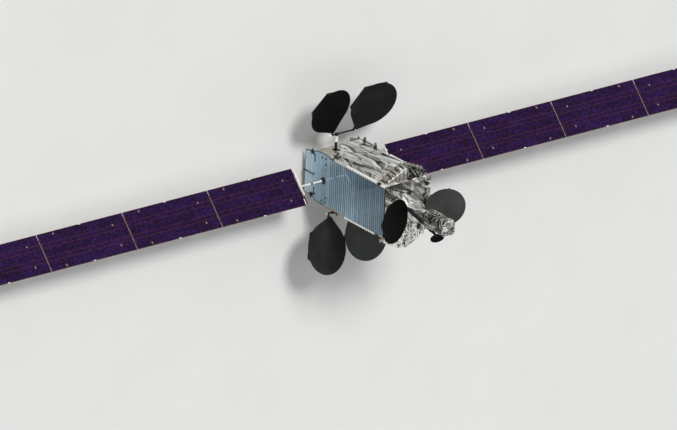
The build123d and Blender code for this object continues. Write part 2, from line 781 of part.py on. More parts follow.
save("launch_ring", launch_ring())
save("main_engine", main_engine())
save("aft_bay", aft_bay())
save("core", core())
save("bus_radiators", *both_sides(bus_radiator()))
save("payload_radiators", *both_sides(payload_radiator()))
save("edge_strips", *four_corners(edge_strip()))
save("earth_deck", block((-core_half_x, core_half_x), (-face_y, face_y), (deck_floor, deck_top)))
save("hold_downs", *hold_downs())
pods = [thruster_pod(1, thruster_east), thruster_pod(-1, thruster_west)]
save("thruster_pods", *[copy for pod in pods for copy in both_sides(pod)])
save("aft_boom", aft_boom())
save("drive_housings", *both_sides(drive_housing()))
save_wing_piece("drive_shaft", drive_shaft())
save_wing_piece("yoke", yoke())
for number in range(panel_count):
    save_wing_piece(f"panel_{number + 1}", panel(number))
for row in reflectors:
    shell_solid, frame_solid = reflector(row)
    save("reflector_" + row[0], shell_solid)
    save("backframe_" + row[0], frame_solid)
save("east_mast", reflector_mast(1, east_hinge_x))
save("west_mast", reflector_mast(-1, west_hinge_x))
save("deck_pedestals", *both_sides(pedestal()))
save("feed_tower", feed_tower())
save("east_feeds", side_feeds(1))
save("west_feeds", side_feeds(-1))
save("dish_arm", dish_arm())
save("spot_dish", spot_dish())
save("deck_antennas", *deck_antennas())
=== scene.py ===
import bpy
import json
import math
import numpy as np
from mathutils import Matrix, Vector


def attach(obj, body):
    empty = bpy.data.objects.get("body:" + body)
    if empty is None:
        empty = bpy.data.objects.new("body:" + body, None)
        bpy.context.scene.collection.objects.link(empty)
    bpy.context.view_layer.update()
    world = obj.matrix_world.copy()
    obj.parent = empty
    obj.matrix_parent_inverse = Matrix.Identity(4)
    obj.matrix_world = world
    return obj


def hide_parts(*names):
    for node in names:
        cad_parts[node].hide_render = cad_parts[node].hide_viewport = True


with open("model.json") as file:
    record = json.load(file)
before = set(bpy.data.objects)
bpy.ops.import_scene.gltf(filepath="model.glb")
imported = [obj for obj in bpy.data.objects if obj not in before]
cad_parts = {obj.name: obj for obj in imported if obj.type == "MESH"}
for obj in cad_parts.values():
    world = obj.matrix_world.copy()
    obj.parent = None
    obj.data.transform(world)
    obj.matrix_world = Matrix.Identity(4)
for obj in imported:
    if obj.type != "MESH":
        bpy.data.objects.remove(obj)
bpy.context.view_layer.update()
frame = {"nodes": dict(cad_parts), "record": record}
nodes = frame["nodes"]
print("frame loaded:", len(nodes), "nodes")

# Places in metres that several pieces share, as the CAD has them
driveZ = 1.370  # height of the wings' axis
wingAngle = math.radians(44.0)  # turn of both wings about it
wingNormal = (math.sin(wingAngle), 0.0, math.cos(wingAngle))
panelPitch = 4.0
firstHinge = 2.212
panelGap = 0.022
panelLength = panelPitch - 2.0 * panelGap
panelHalf = 0.765
panelFace = 0.015  # half of a panel's thickness
faceY = 1.070  # outer face of the radiators
deckTop = 5.130
mastY = 0.430
mastZ = driveZ - 0.140
sideNames = {1: "south", -1: "north"}
bodyCorners = [(1, 1), (1, -1), (-1, 1), (-1, -1)]


# Shapes: a pair of an array of points and a list of face arrays
def tubeShape(points):
    # quads between neighbouring rows of points, joined round, and a cap at both ends
    rows, columns = points.shape[:2]
    index = np.arange(rows * columns).reshape(rows, columns)
    around = np.concatenate([index, index[:, :1]], axis=1)
    corners = [around[:-1, :-1], around[:-1, 1:], around[1:, 1:], around[1:, :-1]]
    faces = np.stack(corners, axis=-1).reshape(-1, 4)
    return points.reshape(-1, 3), [faces, index[:1, ::-1], index[-1:]]


def joinShapes(shapes):
    points, faces, start = [], [], 0
    for shapePoints, shapeFaces in shapes:
        points.append(shapePoints)
        faces += [group + start for group in shapeFaces]
        start += len(shapePoints)
    return np.concatenate(points), faces


def manyShapes(shape, places):
    # copies of one shape, each moved by a matrix
    points, faces = shape
    return joinShapes([(points @ np.array(place.to_3x3()).T + np.array(place.translation), faces)
                       for place in places])


def flipped(faces):
    return [group[:, ::-1] for group in faces]


def frameAt(origin, axis):
    # matrix whose z runs along axis, whose x is nearest to straight up, and whose origin is the point
    z, up = Vector(axis).normalized(), Vector((0.0, 0.0, 1.0))
    x = up - z * up.dot(z)
    if x.length < 1e-6:
        x = z.orthogonal()
    x.normalize()
    matrix = Matrix((x, z.cross(x), z)).transposed().to_4x4()
    matrix.translation = Vector(origin)
    return matrix


def fullTurn(count):
    return np.linspace(0.0, 2.0 * math.pi, count, endpoint=False)


def squared(turn):
    # radius of the squared circle |x|^4 + |y|^4 = 1 at each angle
    return (np.abs(np.cos(turn)) ** 4 + np.abs(np.sin(turn)) ** 4) ** -0.25


def turnedShape(profile, count):
    # revolves (radius, height) rows about z: x = r cos t, y = r sin t
    profile, turn = np.array(profile, dtype=float), fullTurn(count)
    radius, height = profile[:, :1], profile[:, 1:]
    return tubeShape(np.stack([radius * np.cos(turn), radius * np.sin(turn), height + 0.0 * turn], axis=-1))


def cutRectangle(x, y, cut):
    # corners of a rectangle of half sizes x and y whose own corners are cut off
    return [(x, -y + cut), (x, y - cut), (x - cut, y), (-x + cut, y),
            (-x, y - cut), (-x, -y + cut), (-x + cut, -y), (x - cut, -y)]


def easedBlock(size, ease):
    # cut rectangle carried up z and drawn in by the same cut at both ends
    halfX, halfY, halfZ = (0.5 * value for value in size)
    rows = [[(x, y, z) for x, y in cutRectangle(halfX - inset, halfY - inset, ease)]
            for inset, z in ((ease, -halfZ), (0.0, -halfZ + ease), (0.0, halfZ - ease), (ease, halfZ))]
    return tubeShape(np.array(rows))


def makePiece(name, shape, material, body, smooth=False, values=None):
    points, faces = shape
    mesh = bpy.data.meshes.new(name)
    mesh.from_pydata(points.tolist(), [], [face for group in faces for face in group.tolist()])
    mesh.update()
    for key, numbers in (values or {}).items():
        layer = mesh.attributes.new(key, "FLOAT", "POINT")
        layer.data.foreach_set("value", np.ascontiguousarray(numbers, dtype=np.float32).ravel())
    if smooth:
        # the caps, which have many corners, stay flat
        mesh.polygons.foreach_set("use_smooth", [len(face.vertices) < 9 for face in mesh.polygons])
    piece = bpy.data.objects.new(name, mesh)
    bpy.context.scene.collection.objects.link(piece)
    mesh.materials.append(material)
    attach(piece, body)
    return piece


# Crumpled film: the sheet is pushed about so that no crest runs dead straight, then folded
crumple = {"push": 0.12, "pushCells": ((2.3, 3.1), (2.1, 2.7)), "bend": 0.05,
           # share of a fold's width left at its ends
           "endShare": 0.35,
           # painted reflection tone of a fold's side, 1 - range x random^bias, less base, with a painted
           # highlight glint along its crest
           "range": 1.5, "bias": 1.6, "base": 0.25, "glint": 0.5, "glintFrom": 0.86, "glintOver": 0.12,
           # painted shade in the creases: tone between folds, width as a share of the highest rise, and how
           # dark
           "creaseTone": 0.42, "crease": 0.14, "creaseDark": 0.9,
           # unevenness: cells a metre, tone, height in metres
           "fineCells": (22.0, 31.0), "fineTone": 0.16, "fineHeight": 0.004,
           "broadCells": (1.3, 1.6), "broadTone": 0.25}


def valueNoise(u, v, seed):
    # random heights on a whole-number lattice, blended between four corners by 3t^2 - 2t^3
    table = np.random.default_rng(seed).random((128, 128))
    cellU, cellV = np.floor(u).astype(int), np.floor(v).astype(int)
    partU, partV = u - cellU, v - cellV
    partU, partV = partU ** 2 * (3.0 - 2.0 * partU), partV ** 2 * (3.0 - 2.0 * partV)
    cellU, cellV = cellU % 127, cellV % 127
    low = table[cellU, cellV] * (1.0 - partU) + table[cellU + 1, cellV] * partU
    high = table[cellU, cellV + 1] * (1.0 - partU) + table[cellU + 1, cellV + 1] * partU
    return low * (1.0 - partV) + high * partV


def foldField(u, v, look, wrap=None):
    # Each fold is a tent: rise x (1 - (a / half length)^2) x (1 - |b| / half width), where a runs along the
    # crest and b across it. Film takes the highest tent at each point. Where the two highest are nearly level
    # lies a crease, which gets painted shade, and each side of a tent gets its own painted reflection tone,
    # as if it mirrored another part of the surroundings, with a painted highlight along its crest.
    way = {**crumple, **look}
    rng = np.random.default_rng(look["seed"])
    u, v = np.broadcast_arrays(u, v)
    pushU, pushV = (way["push"] * (valueNoise(u * cells[0], v * cells[1], look["seed"] + extra) - 0.5)
                    for extra, cells in enumerate(way["pushCells"], 3))
    u, v = u + pushU, v + (0.0 if wrap else 1.0) * pushV
    height, tone = np.zeros(u.shape), np.full(u.shape, way["creaseTone"])
    for count, length, width, rise, spread, weight in look["folds"]:
        best, second, shade = np.zeros(u.shape), np.zeros(u.shape), np.zeros(u.shape)
        for _ in range(count):
            middleU, middleV = rng.uniform(u.min(), u.max()), rng.uniform(v.min(), v.max())
            angle = math.radians(look["angle"] + rng.normal(0.0, spread))
            if "focus" in look:
                angle += math.atan2(middleV - look["focus"][1], middleU - look["focus"][0])
            halfLength, halfWidth = rng.uniform(*length) / 2.0, rng.uniform(*width) / 2.0
            top, bend = rng.uniform(*rise), rng.normal(0.0, way["bend"])
            # painted reflection: a random tone for each side of the tent
            tones = 1.0 - way["range"] * rng.random(2) ** way["bias"]
            awayU, awayV = u - middleU, v - middleV
            if wrap:
                awayV = (awayV + wrap / 2.0) % wrap - wrap / 2.0
            a = awayU * math.cos(angle) + awayV * math.sin(angle)
            b = awayV * math.cos(angle) - awayU * math.sin(angle) + bend * a ** 2
            taper = np.clip(1.0 - (a / halfLength) ** 2, 0.0, 1.0)
            reach = halfWidth * (way["endShare"] + (1.0 - way["endShare"]) * taper)
            slope = np.clip(1.0 - np.abs(b) / reach, 0.0, 1.0)
            tent = top * taper * slope
            over = tent > best
            second = np.where(over, best, np.maximum(second, tent))
            best = np.where(over, tent, best)
            # painted highlight along the crest
            glint = way["glint"] * np.clip((slope - way["glintFrom"]) / way["glintOver"], 0.0, 1.0)
            shade = np.where(over, np.where(b > 0.0, tones[0], tones[1]) + glint - way["base"], shade)
        # painted shade: a dark line where the two highest tents meet
        line = np.clip(1.0 - (best - second) / (way["crease"] * rise[1]), 0.0, 1.0) * (best > 0.0)
        height = height + best
        tone = tone + weight * (shade - way["creaseDark"] * line)
    fine, broad = (valueNoise(u * way[cells][0], v * way[cells][1], look["seed"] + extra) - 0.5
                   for extra, cells in enumerate(("fineCells", "broadCells"), 1))
    tone = tone + way["fineTone"] * fine + way["broadTone"] * broad
    return height + way["fineHeight"] * fine, np.clip(tone, 0.0, 1.0)


# Materials
def linearColour(code):
    # sRGB hex to linear, with full alpha
    channels = [int(code[place:place + 2], 16) / 255.0 for place in (0, 2, 4)]
    return tuple(c / 12.92 if c <= 0.04045 else ((c + 0.055) / 1.055) ** 2.4 for c in channels) + (1.0,)


def fillSockets(tree, node, inputs):
    # a socket is linked, anything else is set as the value
    for name, value in inputs.items():
        if isinstance(value, bpy.types.NodeSocket):
            tree.links.new(value, node.inputs[name])
        else:
            node.inputs[name].default_value = value


def addNode(tree, kind, inputs=None, stops=None, output=0, **settings):
    # one node with its properties, colour stops, values and links; gives back one of its outputs
    node = tree.nodes.new("ShaderNode" + kind)
    for name, value in settings.items():
        setattr(node, name, value)
    if stops:
        ramp = node.color_ramp
        while len(ramp.elements) < len(stops):
            ramp.elements.new(0.5)
        for element, (position, code) in zip(ramp.elements, stops):
            element.position = position
            element.color = linearColour(code)
    fillSockets(tree, node, inputs or {})
    return node.outputs[output]


def startMaterial(name, sockets):
    # uniform values go straight on the shader's own sockets
    material = bpy.data.materials.new(name)
    material.use_nodes = True
    tree = material.node_tree
    for key, value in sockets.items():
        tree.nodes["Principled BSDF"].inputs[key.replace("_", " ")].default_value = value
    return material, tree, addNode(tree, "TexCoord", output="Object")


def finishMaterial(material, colour, height=None, strength=0.5, depth=0.0):
    # colour, and a relief of a depth in metres where there is one
    tree = material.node_tree
    inputs = {"Base Color": colour}
    if height is not None:
        inputs["Normal"] = addNode(tree, "Bump", {"Height": height, "Strength": strength, "Distance": depth})
    fillSockets(tree, tree.nodes["Principled BSDF"], inputs)
    return material


# film: shares of folds and mottle in its tone, how much finer the finest crinkles are, depth, tan colour
filmLook = {"foldShare": 0.85, "mottleShare": 0.3, "finer": 2.5, "depth": 0.006, "tan": "b5af9f"}


def filmMaterial(name, stops, crinkle, usesFold=True):
    # metallised polyimide film, laid by hand: each facet carries a painted reflection tone, as if it mirrored
    # another part of the surroundings, so pale and dark streaks stand side by side, and crinkles, so many a
    # metre, break them up
    material, tree, place = startMaterial(name, {"Metallic": 0.7, "Roughness": 0.36})
    level = addNode(tree, "TexNoise", {"Vector": place, "Scale": 9.0, "Detail": 6.0, "Roughness": 0.65})
    if usesFold:
        # the crease attribute holds the painted shade, painted glints and painted reflection tones of the
        # folds
        fold = addNode(tree, "Attribute", attribute_name="crease", output="Fac")
        share = addNode(tree, "Math", {0: level, 1: filmLook["mottleShare"]}, operation="MULTIPLY")
        level = addNode(tree, "Math", {0: fold, 1: filmLook["foldShare"], 2: share}, operation="MULTIPLY_ADD")
    colour = addNode(tree, "ValToRGB", {"Fac": level}, stops)
    if usesFold:
        tan = addNode(tree, "Attribute", attribute_name="tan", output="Fac")
        colour = addNode(tree, "Mix", {0: tan, 6: colour, 7: linearColour(filmLook["tan"])}, output=2,
                         data_type="RGBA")
    facets = addNode(tree, "TexVoronoi", {"Vector": place, "Scale": crinkle}, feature="DISTANCE_TO_EDGE")
    fine = addNode(tree, "TexNoise", {"Vector": place, "Scale": crinkle * filmLook["finer"], "Detail": 4.0})
    relief = addNode(tree, "Math", {0: facets, 1: fine}, operation="ADD")
    return finishMaterial(material, colour, relief, 0.5, filmLook["depth"])


def mottledMaterial(name, stops, scale, relief=0.0002, stretch=(1.0, 1.0, 1.0), **sockets):
    # paint, anodising or bare metal: a narrow colour range over noise, with the same noise in its relief
    material, tree, place = startMaterial(name, sockets)
    where = addNode(tree, "Mapping", {"Vector": place, "Scale": stretch})
    mottle = addNode(tree, "TexNoise", {"Vector": where, "Scale": scale, "Detail": 5.0, "Roughness": 0.6})
    return finishMaterial(material, addNode(tree, "ValToRGB", {"Fac": mottle}, stops), mottle, 0.5, relief)


def toneMaterial(name, stops, **sockets):
    # pieces laid one by one, each with its own tone kept in an attribute, and a little mottle over them all
    material, tree, place = startMaterial(name, sockets)
    tone = addNode(tree, "Attribute", attribute_name="tone", output="Fac")
    mottle = addNode(tree, "TexNoise", {"Vector": place, "Scale": 3.0, "Detail": 3.0})
    small = addNode(tree, "Math", {0: mottle, 1: 0.12}, operation="MULTIPLY")
    level = addNode(tree, "Math", {0: tone, 1: small}, operation="ADD")
    return finishMaterial(material, addNode(tree, "ValToRGB", {"Fac": level}, stops))


def carbonMaterial(name, dark, light, pitch, **sockets):
    # woven carbon in resin: two sets of crossing tows, drawn at a pitch in metres that still shows
    material, tree, place = startMaterial(name, sockets)
    sets = []
    for turn in (math.radians(45.0), math.radians(-45.0)):
        where = addNode(tree, "Mapping", {"Vector": place, "Rotation": (turn, 0.0, turn)})
        # a wave of scale 0.31 has one band to the metre
        sets.append(addNode(tree, "TexWave", {"Vector": where, "Scale": 0.31 / pitch, "Distortion": 0.3},
                            output="Fac"))
    tows = addNode(tree, "Math", {0: sets[0], 1: sets[1]}, operation="MULTIPLY")
    mottle = addNode(tree, "TexNoise", {"Vector": place, "Scale": 1.1, "Detail": 3.0})
    level = addNode(tree, "Math", {0: tows, 1: 0.25, 2: mottle}, operation="MULTIPLY_ADD")
    colour = addNode(tree, "ValToRGB", {"Fac": level}, [(0.35, dark), (0.85, light)])
    return finishMaterial(material, colour, tows, 0.25, 0.0004)


def twoFacedMaterial(name, towards, front, back, scale, outward=False, **sockets):
    # one finish on the faces that look along a direction and another on the rest; outward measures the
    # direction away from the plane between the two wings, so that it holds on both sides of the body
    material, tree, place = startMaterial(name, sockets)
    normal = addNode(tree, "TexCoord", output="Normal")
    facing = addNode(tree, "VectorMath", {0: normal, 1: towards}, operation="DOT_PRODUCT", output="Value")
    if outward:
        side = addNode(tree, "VectorMath", {0: place, 1: towards}, operation="DOT_PRODUCT", output="Value")
        facing = addNode(tree, "Math", {0: facing, 1: side}, operation="MULTIPLY")
    isFront = addNode(tree, "Math", {0: facing, 1: 0.5}, operation="GREATER_THAN")
    mottle = addNode(tree, "TexNoise", {"Vector": place, "Scale": scale, "Detail": 5.0})
    ramps = [addNode(tree, "ValToRGB", {"Fac": mottle}, stops) for stops in (back, front)]
    return finishMaterial(material, addNode(tree, "Mix", {0: isFront, 6: ramps[0], 7: ramps[1]}, output=2,
                                            data_type="RGBA"))


# aluminised film over loose layers: painted reflections, pale facets and a few near black where they stand
# for the dark side
silverFilm = filmMaterial("crumpledSilverFilm", [(0.05, "14120f"), (0.20, "4b4843"), (0.34, "95938c"),
                                                 (0.56, "d3d2cd"), (0.85, "fdfcf9")], 30.0)
# the same film left slack: small hard painted glints and darker painted reflections in its crumple
sparklingFilm = filmMaterial("looseSilverFilm", [(0.16, "060505"), (0.40, "2a2825"), (0.58, "706e68"),
                                                 (0.78, "c6c5c0"), (0.95, "fdfdfb")], 36.0)
# the same film painted darker, as painted shade near the east feeds: bright only on its sharpest facets
shadedFilm = filmMaterial("paintedShadeSilverFilm", [(0.20, "040404"), (0.50, "1b1a18"), (0.76, "4b4945"),
                                               (0.98, "c4c2bb")], 30.0)
# film stretched flat: even grey with faint crinkles
plainFilm = filmMaterial("laidSilverFilm", [(0.3, "4f4c47"), (0.7, "a4a29b")], 30.0, usesFold=False)
# film bunched round a fitting: light and dark close together
bundledFilm = filmMaterial("bundledSilverFilm", [(0.35, "1d1c1a"), (0.5, "4d4b46"), (0.65, "b2b0a9")], 24.0,
                           usesFold=False)
# black polyimide near the engine: dark, warm and dull
darkFilm = filmMaterial("blackPolyimideFilm", [(0.3, "1b1917"), (0.7, "4a453f")], 24.0, usesFold=False)
# silvered glass tiles: a cold blue-grey mirror, whose tone carries a painted reflection of the floor
mirrorTile = toneMaterial("secondSurfaceMirror", [(0.0, "4c5d68"), (0.35, "758c9b"), (0.75, "a3c0d1"),
                                                  (1.0, "cfe3ee")], Metallic=0.42, Roughness=0.06)
# the plate behind the tiles: dark bond lines outside, bare aluminium inside
tileBond = twoFacedMaterial("tileBondedPlate", (0.0, 1.0, 0.0), [(0.3, "1c242b"), (0.7, "2a333c")],
                            [(0.3, "8a8780"), (0.7, "b4b1a9")], 8.0, outward=True, Metallic=0.5,
                            Roughness=0.4)
# glass-cloth tape: matt white, with painted shade in the pleats' valleys
pleatedTape = toneMaterial("pleatedWhiteTape", [(0.0, "7d7c78"), (0.4, "cbcac4"), (1.0, "f6f5f0")],
                           Roughness=0.6)
# cells under coated cover glass: deep violet with little glare
cellGlass = toneMaterial("coveredSolarCell", [(0.0, "07030e"), (0.5, "170a2c"), (1.0, "2c174e")],
                         Roughness=0.3, Specular_IOR_Level=0.07)
# amber film on the cell side of a panel, bare carbon behind
panelFacing = twoFacedMaterial("polyimideFacing", wingNormal, [(0.35, "2a0d18"), (0.65, "571f20")],
                               [(0.35, "141517"), (0.65, "242528")], 24.0, Roughness=0.42,
                               Specular_IOR_Level=0.15)
# harness under amber tape: warm and smooth
harnessTape = mottledMaterial("amberPolyimideTape", [(0.3, "7a4a1c"), (0.7, "a86a2a")], 18.0, 0.0003,
                              Roughness=0.35)
# white thermal paint: matt, almost even
whitePaint = mottledMaterial("whiteThermalPaint", [(0.3, "d9d8d2"), (0.7, "efeeea")], 9.0, Roughness=0.5)
# black anodised aluminium: dark with a dull metal sheen
blackAnodised = mottledMaterial("blackAnodisedAluminium", [(0.3, "101113"), (0.7, "26272b")], 30.0,
                                Metallic=0.4, Roughness=0.42)
# wound carbon tube: near black, a faint weave in satin resin
bareCarbon = carbonMaterial("carbonTube", "070708", "191a1c", 0.02, Roughness=0.5, Specular_IOR_Level=0.15)
# silver-plated horns: bright metal with tarnish
hornMetal = mottledMaterial("silverPlatedHorn", [(0.3, "5a5853"), (0.7, "bdbab2")], 14.0, Metallic=0.95,
                            Roughness=0.27)
# machined ring: bright, with fine marks round it
ringMetal = mottledMaterial("machinedAluminium", [(0.3, "9b9da0"), (0.7, "c6c8ca")], 10.0,
                            stretch=(1, 1, 12), Metallic=1.0, Roughness=0.3)
# niobium bell after firing: brown and blue heat colours
bellMetal = mottledMaterial("heatedNiobium", [(0.3, "2c2724"), (0.5, "5b4a3c"), (0.75, "3d3f4c")], 4.0,
                            stretch=(0.3, 0.3, 3), Metallic=0.9, Roughness=0.35)
# titanium bolts and bushings: plain grey metal
boltMetal = mottledMaterial("titaniumBolt", [(0.3, "75767a"), (0.7, "9fa0a3")], 60.0, Metallic=0.9,
                            Roughness=0.35)
# white film gathered round a tube: soft ridges
whiteSleeve = mottledMaterial("whiteGatheredFilm", [(0.3, "b5b3ad"), (0.7, "f0efea")], 26.0, 0.0015,
                              Metallic=0.3, Roughness=0.4)
# aluminium tape: as pale as the tiles beside it, less of a mirror
aluminiumTape = mottledMaterial("aluminiumTape", [(0.3, "7f95a2"), (0.7, "9db2bf")], 12.0, 0.0003,
                                Metallic=0.4, Roughness=0.3)
# black film slack round an arm: dull, with soft creases
blackSleeve = mottledMaterial("blackSlackFilm", [(0.3, "050505"), (0.7, "161616")], 26.0, 0.0015,
                              Roughness=0.5, Specular_IOR_Level=0.2)
slotMaterials = {
    "blanket_silver": plainFilm, "blanket_dark": darkFilm, "radiator_mirror": tileBond,
    "white_strip": pleatedTape, "solar_cells": panelFacing, "white_tube": whitePaint,
    "dark_fitting": blackAnodised, "dark_composite": bareCarbon, "feed_metal": hornMetal,
    "ring_metal": ringMetal, "engine_metal": bellMetal}
# nodes with a finish of their own; the spot dish has a finer, darker weave than the reflectors
nodeMaterials = {
    "hold_downs": bundledFilm,
    "spot_dish": carbonMaterial("skin_spot", "030303", "0b0b0b", 0.02, Roughness=0.6,
                                Specular_IOR_Level=0.06)}
# dark and light end of each reflector's skin: the same graphite, painted darker or paler on each reflector,
# as painted shade or light for the way it faces the light
litAndShadedSkins = {"east_south": ("050505", "0c0d0d"), "east_north": ("161616", "252525"),
         "west_south": ("202020", "313131"), "west_north": ("393a3a", "4f5050"),
         "deck_south": ("010101", "040404"), "deck_north": ("323332", "484847")}
for name, (dark, light) in litAndShadedSkins.items():
    nodeMaterials["reflector_" + name] = carbonMaterial("skin_" + name, dark, light, 0.03, Roughness=0.6,
                                                        Specular_IOR_Level=0.04)
for part in frame["record"]["subparts"]:
    finish = nodeMaterials.get(part["node"]) or slotMaterials[part["material_slot"]]
    for slot in nodes[part["node"]].material_slots:
        slot.material = finish
print("materials made")

# Film sheets: a path across (columns) carried along a straight run (rows), closed by a back inside the body.
# folds: count, length, width, rise, spread of direction in degrees, weight of their tone
bodyFolds = [(22, (1.2, 3.4), (0.30, 0.80), (0.024, 0.056), 11.0, 0.50),
             (58, (0.4, 1.6), (0.07, 0.24), (0.006, 0.022), 22.0, 0.36),
             (170, (0.12, 0.5), (0.03, 0.08), (0.003, 0.009), 40.0, 0.20)]
deckFolds = [(26, (0.8, 2.4), (0.18, 0.50), (0.016, 0.040), 10.0, 0.55),
             (44, (0.3, 1.2), (0.06, 0.18), (0.006, 0.018), 20.0, 0.35),
             (110, (0.12, 0.5), (0.03, 0.08), (0.003, 0.009), 40.0, 0.20)]
smallFolds = [(90, (0.15, 0.8), (0.07, 0.20), (0.010, 0.030), 40.0, 0.6),
              (240, (0.06, 0.30), (0.025, 0.06), (0.003, 0.010), 60.0, 0.4)]
hoodFolds = [(26, (0.2, 0.9), (0.09, 0.26), (0.012, 0.034), 35.0, 0.6),
             (80, (0.08, 0.35), (0.03, 0.07), (0.003, 0.010), 50.0, 0.4)]
bayFolds = [(30, (0.3, 1.2), (0.08, 0.24), (0.008, 0.022), 14.0, 0.6),
            (70, (0.1, 0.4), (0.03, 0.07), (0.004, 0.010), 30.0, 0.4)]
eastPath = [(0.978, -1.037, 0.88), (1.062, -0.953, 0.88), (1.062, 0.953, 0.88), (0.978, 1.037, 0.88)]
deckPath = [(-1.066, -1.070, 5.095), (-1.066, -1.070, 5.132), (1.066, -1.070, 5.132), (1.066, -1.070, 5.095)]
bayPath = [(0.722, -0.99, 0.45), (0.722, 0.99, 0.45)]
# half sizes of the patches held flat at the bases of masts and pedestals, and at the hold-downs
baseHold = (0.11, 0.11)
downHold = (0.09, 0.04)


def westOf(path):
    # the same path half a turn round the body
    return [(-x, -y, z) for x, y, z in path]


def hoodPath(inner, outer, y, side):
    # over a hood's top and down its outer edge; west of the body the path runs the other way
    return [(side * inner, y, 5.031), (side * outer, y, 5.031), (side * (outer + 0.010), y, 4.935)][::side]


bodySheet = {"run": (0.0, 0.0, 4.208), "angle": 0.0, "folds": bodyFolds}
baySheet = {"run": (0.0, 0.0, 0.42), "step": 0.020, "angle": 80.0, "folds": bayFolds}
# hoods over the feed rows, whose run follows the slanted edge
hoodSheet = {"run": (0.395, 0.860, 0.0), "step": 0.0125, "angle": 60.0, "folds": hoodFolds}
films = {
    "eastBlanket": {
        **bodySheet, "path": eastPath, "step": 0.0128, "seed": 11, "focus": (-3.4, 1.45), "edge": 0.24,
        # held flat: row, column, half sizes
        "held": [(0.35, 1.50, *baseHold), (1.07, 1.97, *downHold), (1.07, 0.17, *downHold),
                 (0.42, 0.17, *downHold)],
        # the aft south corner is a smooth tan blanket: its edge as y and z
        "tanEdge": ((-0.20, 0.09, 0.39, 0.85, 1.03), (0.90, 1.12, 1.50, 1.58, 1.60))},
    "westBlanket": {
        **bodySheet, "path": westOf(eastPath), "step": 0.0150, "seed": 23, "focus": (-3.4, 0.70),
        "held": [(0.35, 0.64, *baseHold), (1.07, 0.17, *downHold), (1.07, 1.97, *downHold),
                 (0.42, 1.97, *downHold)]},
    "deckBlanket": {
        "path": deckPath, "run": (0.0, 2.140, 0.0), "step": 0.0120, "angle": 39.7, "seed": 41,
        "folds": deckFolds, "held": [(0.17, 1.10, *baseHold), (1.97, 1.10, *baseHold)],
        # painted shade on the film: row, column, half sizes, by how much
        "shaded": [(1.76, 1.92, 0.32, 0.24, 0.34), (0.65, 1.55, 0.40, 0.36, 0.14),
                   (0.95, 2.13, 0.95, 0.07, 0.26)],
        # low units under the film: row, column, half sizes, height
        "humps": [(0.30, 0.42, 0.16, 0.20, 0.045), (0.62, 1.86, 0.24, 0.20, 0.040),
                  (1.60, 1.72, 0.20, 0.26, 0.040), (1.55, 0.36, 0.28, 0.20, 0.045),
                  (0.18, 1.50, 0.12, 0.22, 0.035)]},
    "eastBayBlanket": {**baySheet, "path": bayPath, "seed": 53},
    "westBayBlanket": {**baySheet, "path": westOf(bayPath), "seed": 59},
    # painted shade: this hood's film is darker, with a darker tone between its folds
    "eastNorthHood": {**hoodSheet, "path": hoodPath(0.68, 1.276, -0.920, 1), "step": 0.0115,
                      "creaseTone": 0.40, "seed": 61, "film": shadedFilm},
    "westSouthHood": {**hoodSheet, "path": hoodPath(1.04, 1.672, 0.060, -1), "seed": 67},
    "westNorthHood": {**hoodSheet, "path": hoodPath(0.68, 1.276, -0.920, -1), "run": (-0.395, 0.860, 0.0),
                      "seed": 73}}
# how sheets lie: width over which folds die out at an edge, least height, soft edges of the patches,
# share of tan colour and of height lost under it, depth and inset of the back
laid = {"edge": 0.04, "least": 0.003, "heldSoft": 0.05, "humpSoft": 0.07, "humpCurve": 0.7,
        "shadeSoft": 0.15, "tanSoft": 0.02, "tanShare": 0.78, "tanFlat": 0.8, "backDepth": 0.030,
        "backInset": 0.02}


def boxFade(u, v, patch, soft):
    # 0 inside a rectangle of the sheet, given by row, column and half sizes, 1 from a soft edge outwards
    row, column, halfRow, halfColumn = patch
    away = np.maximum(np.abs(u - row) - halfRow, np.abs(v - column) - halfColumn)
    return np.clip(away / soft, 0.0, 1.0)


def endFade(place, end, edge):
    # 0 at both ends of a length, 1 from an edge's width inwards
    return np.clip(np.minimum(place, end - place) / edge, 0.0, 1.0)


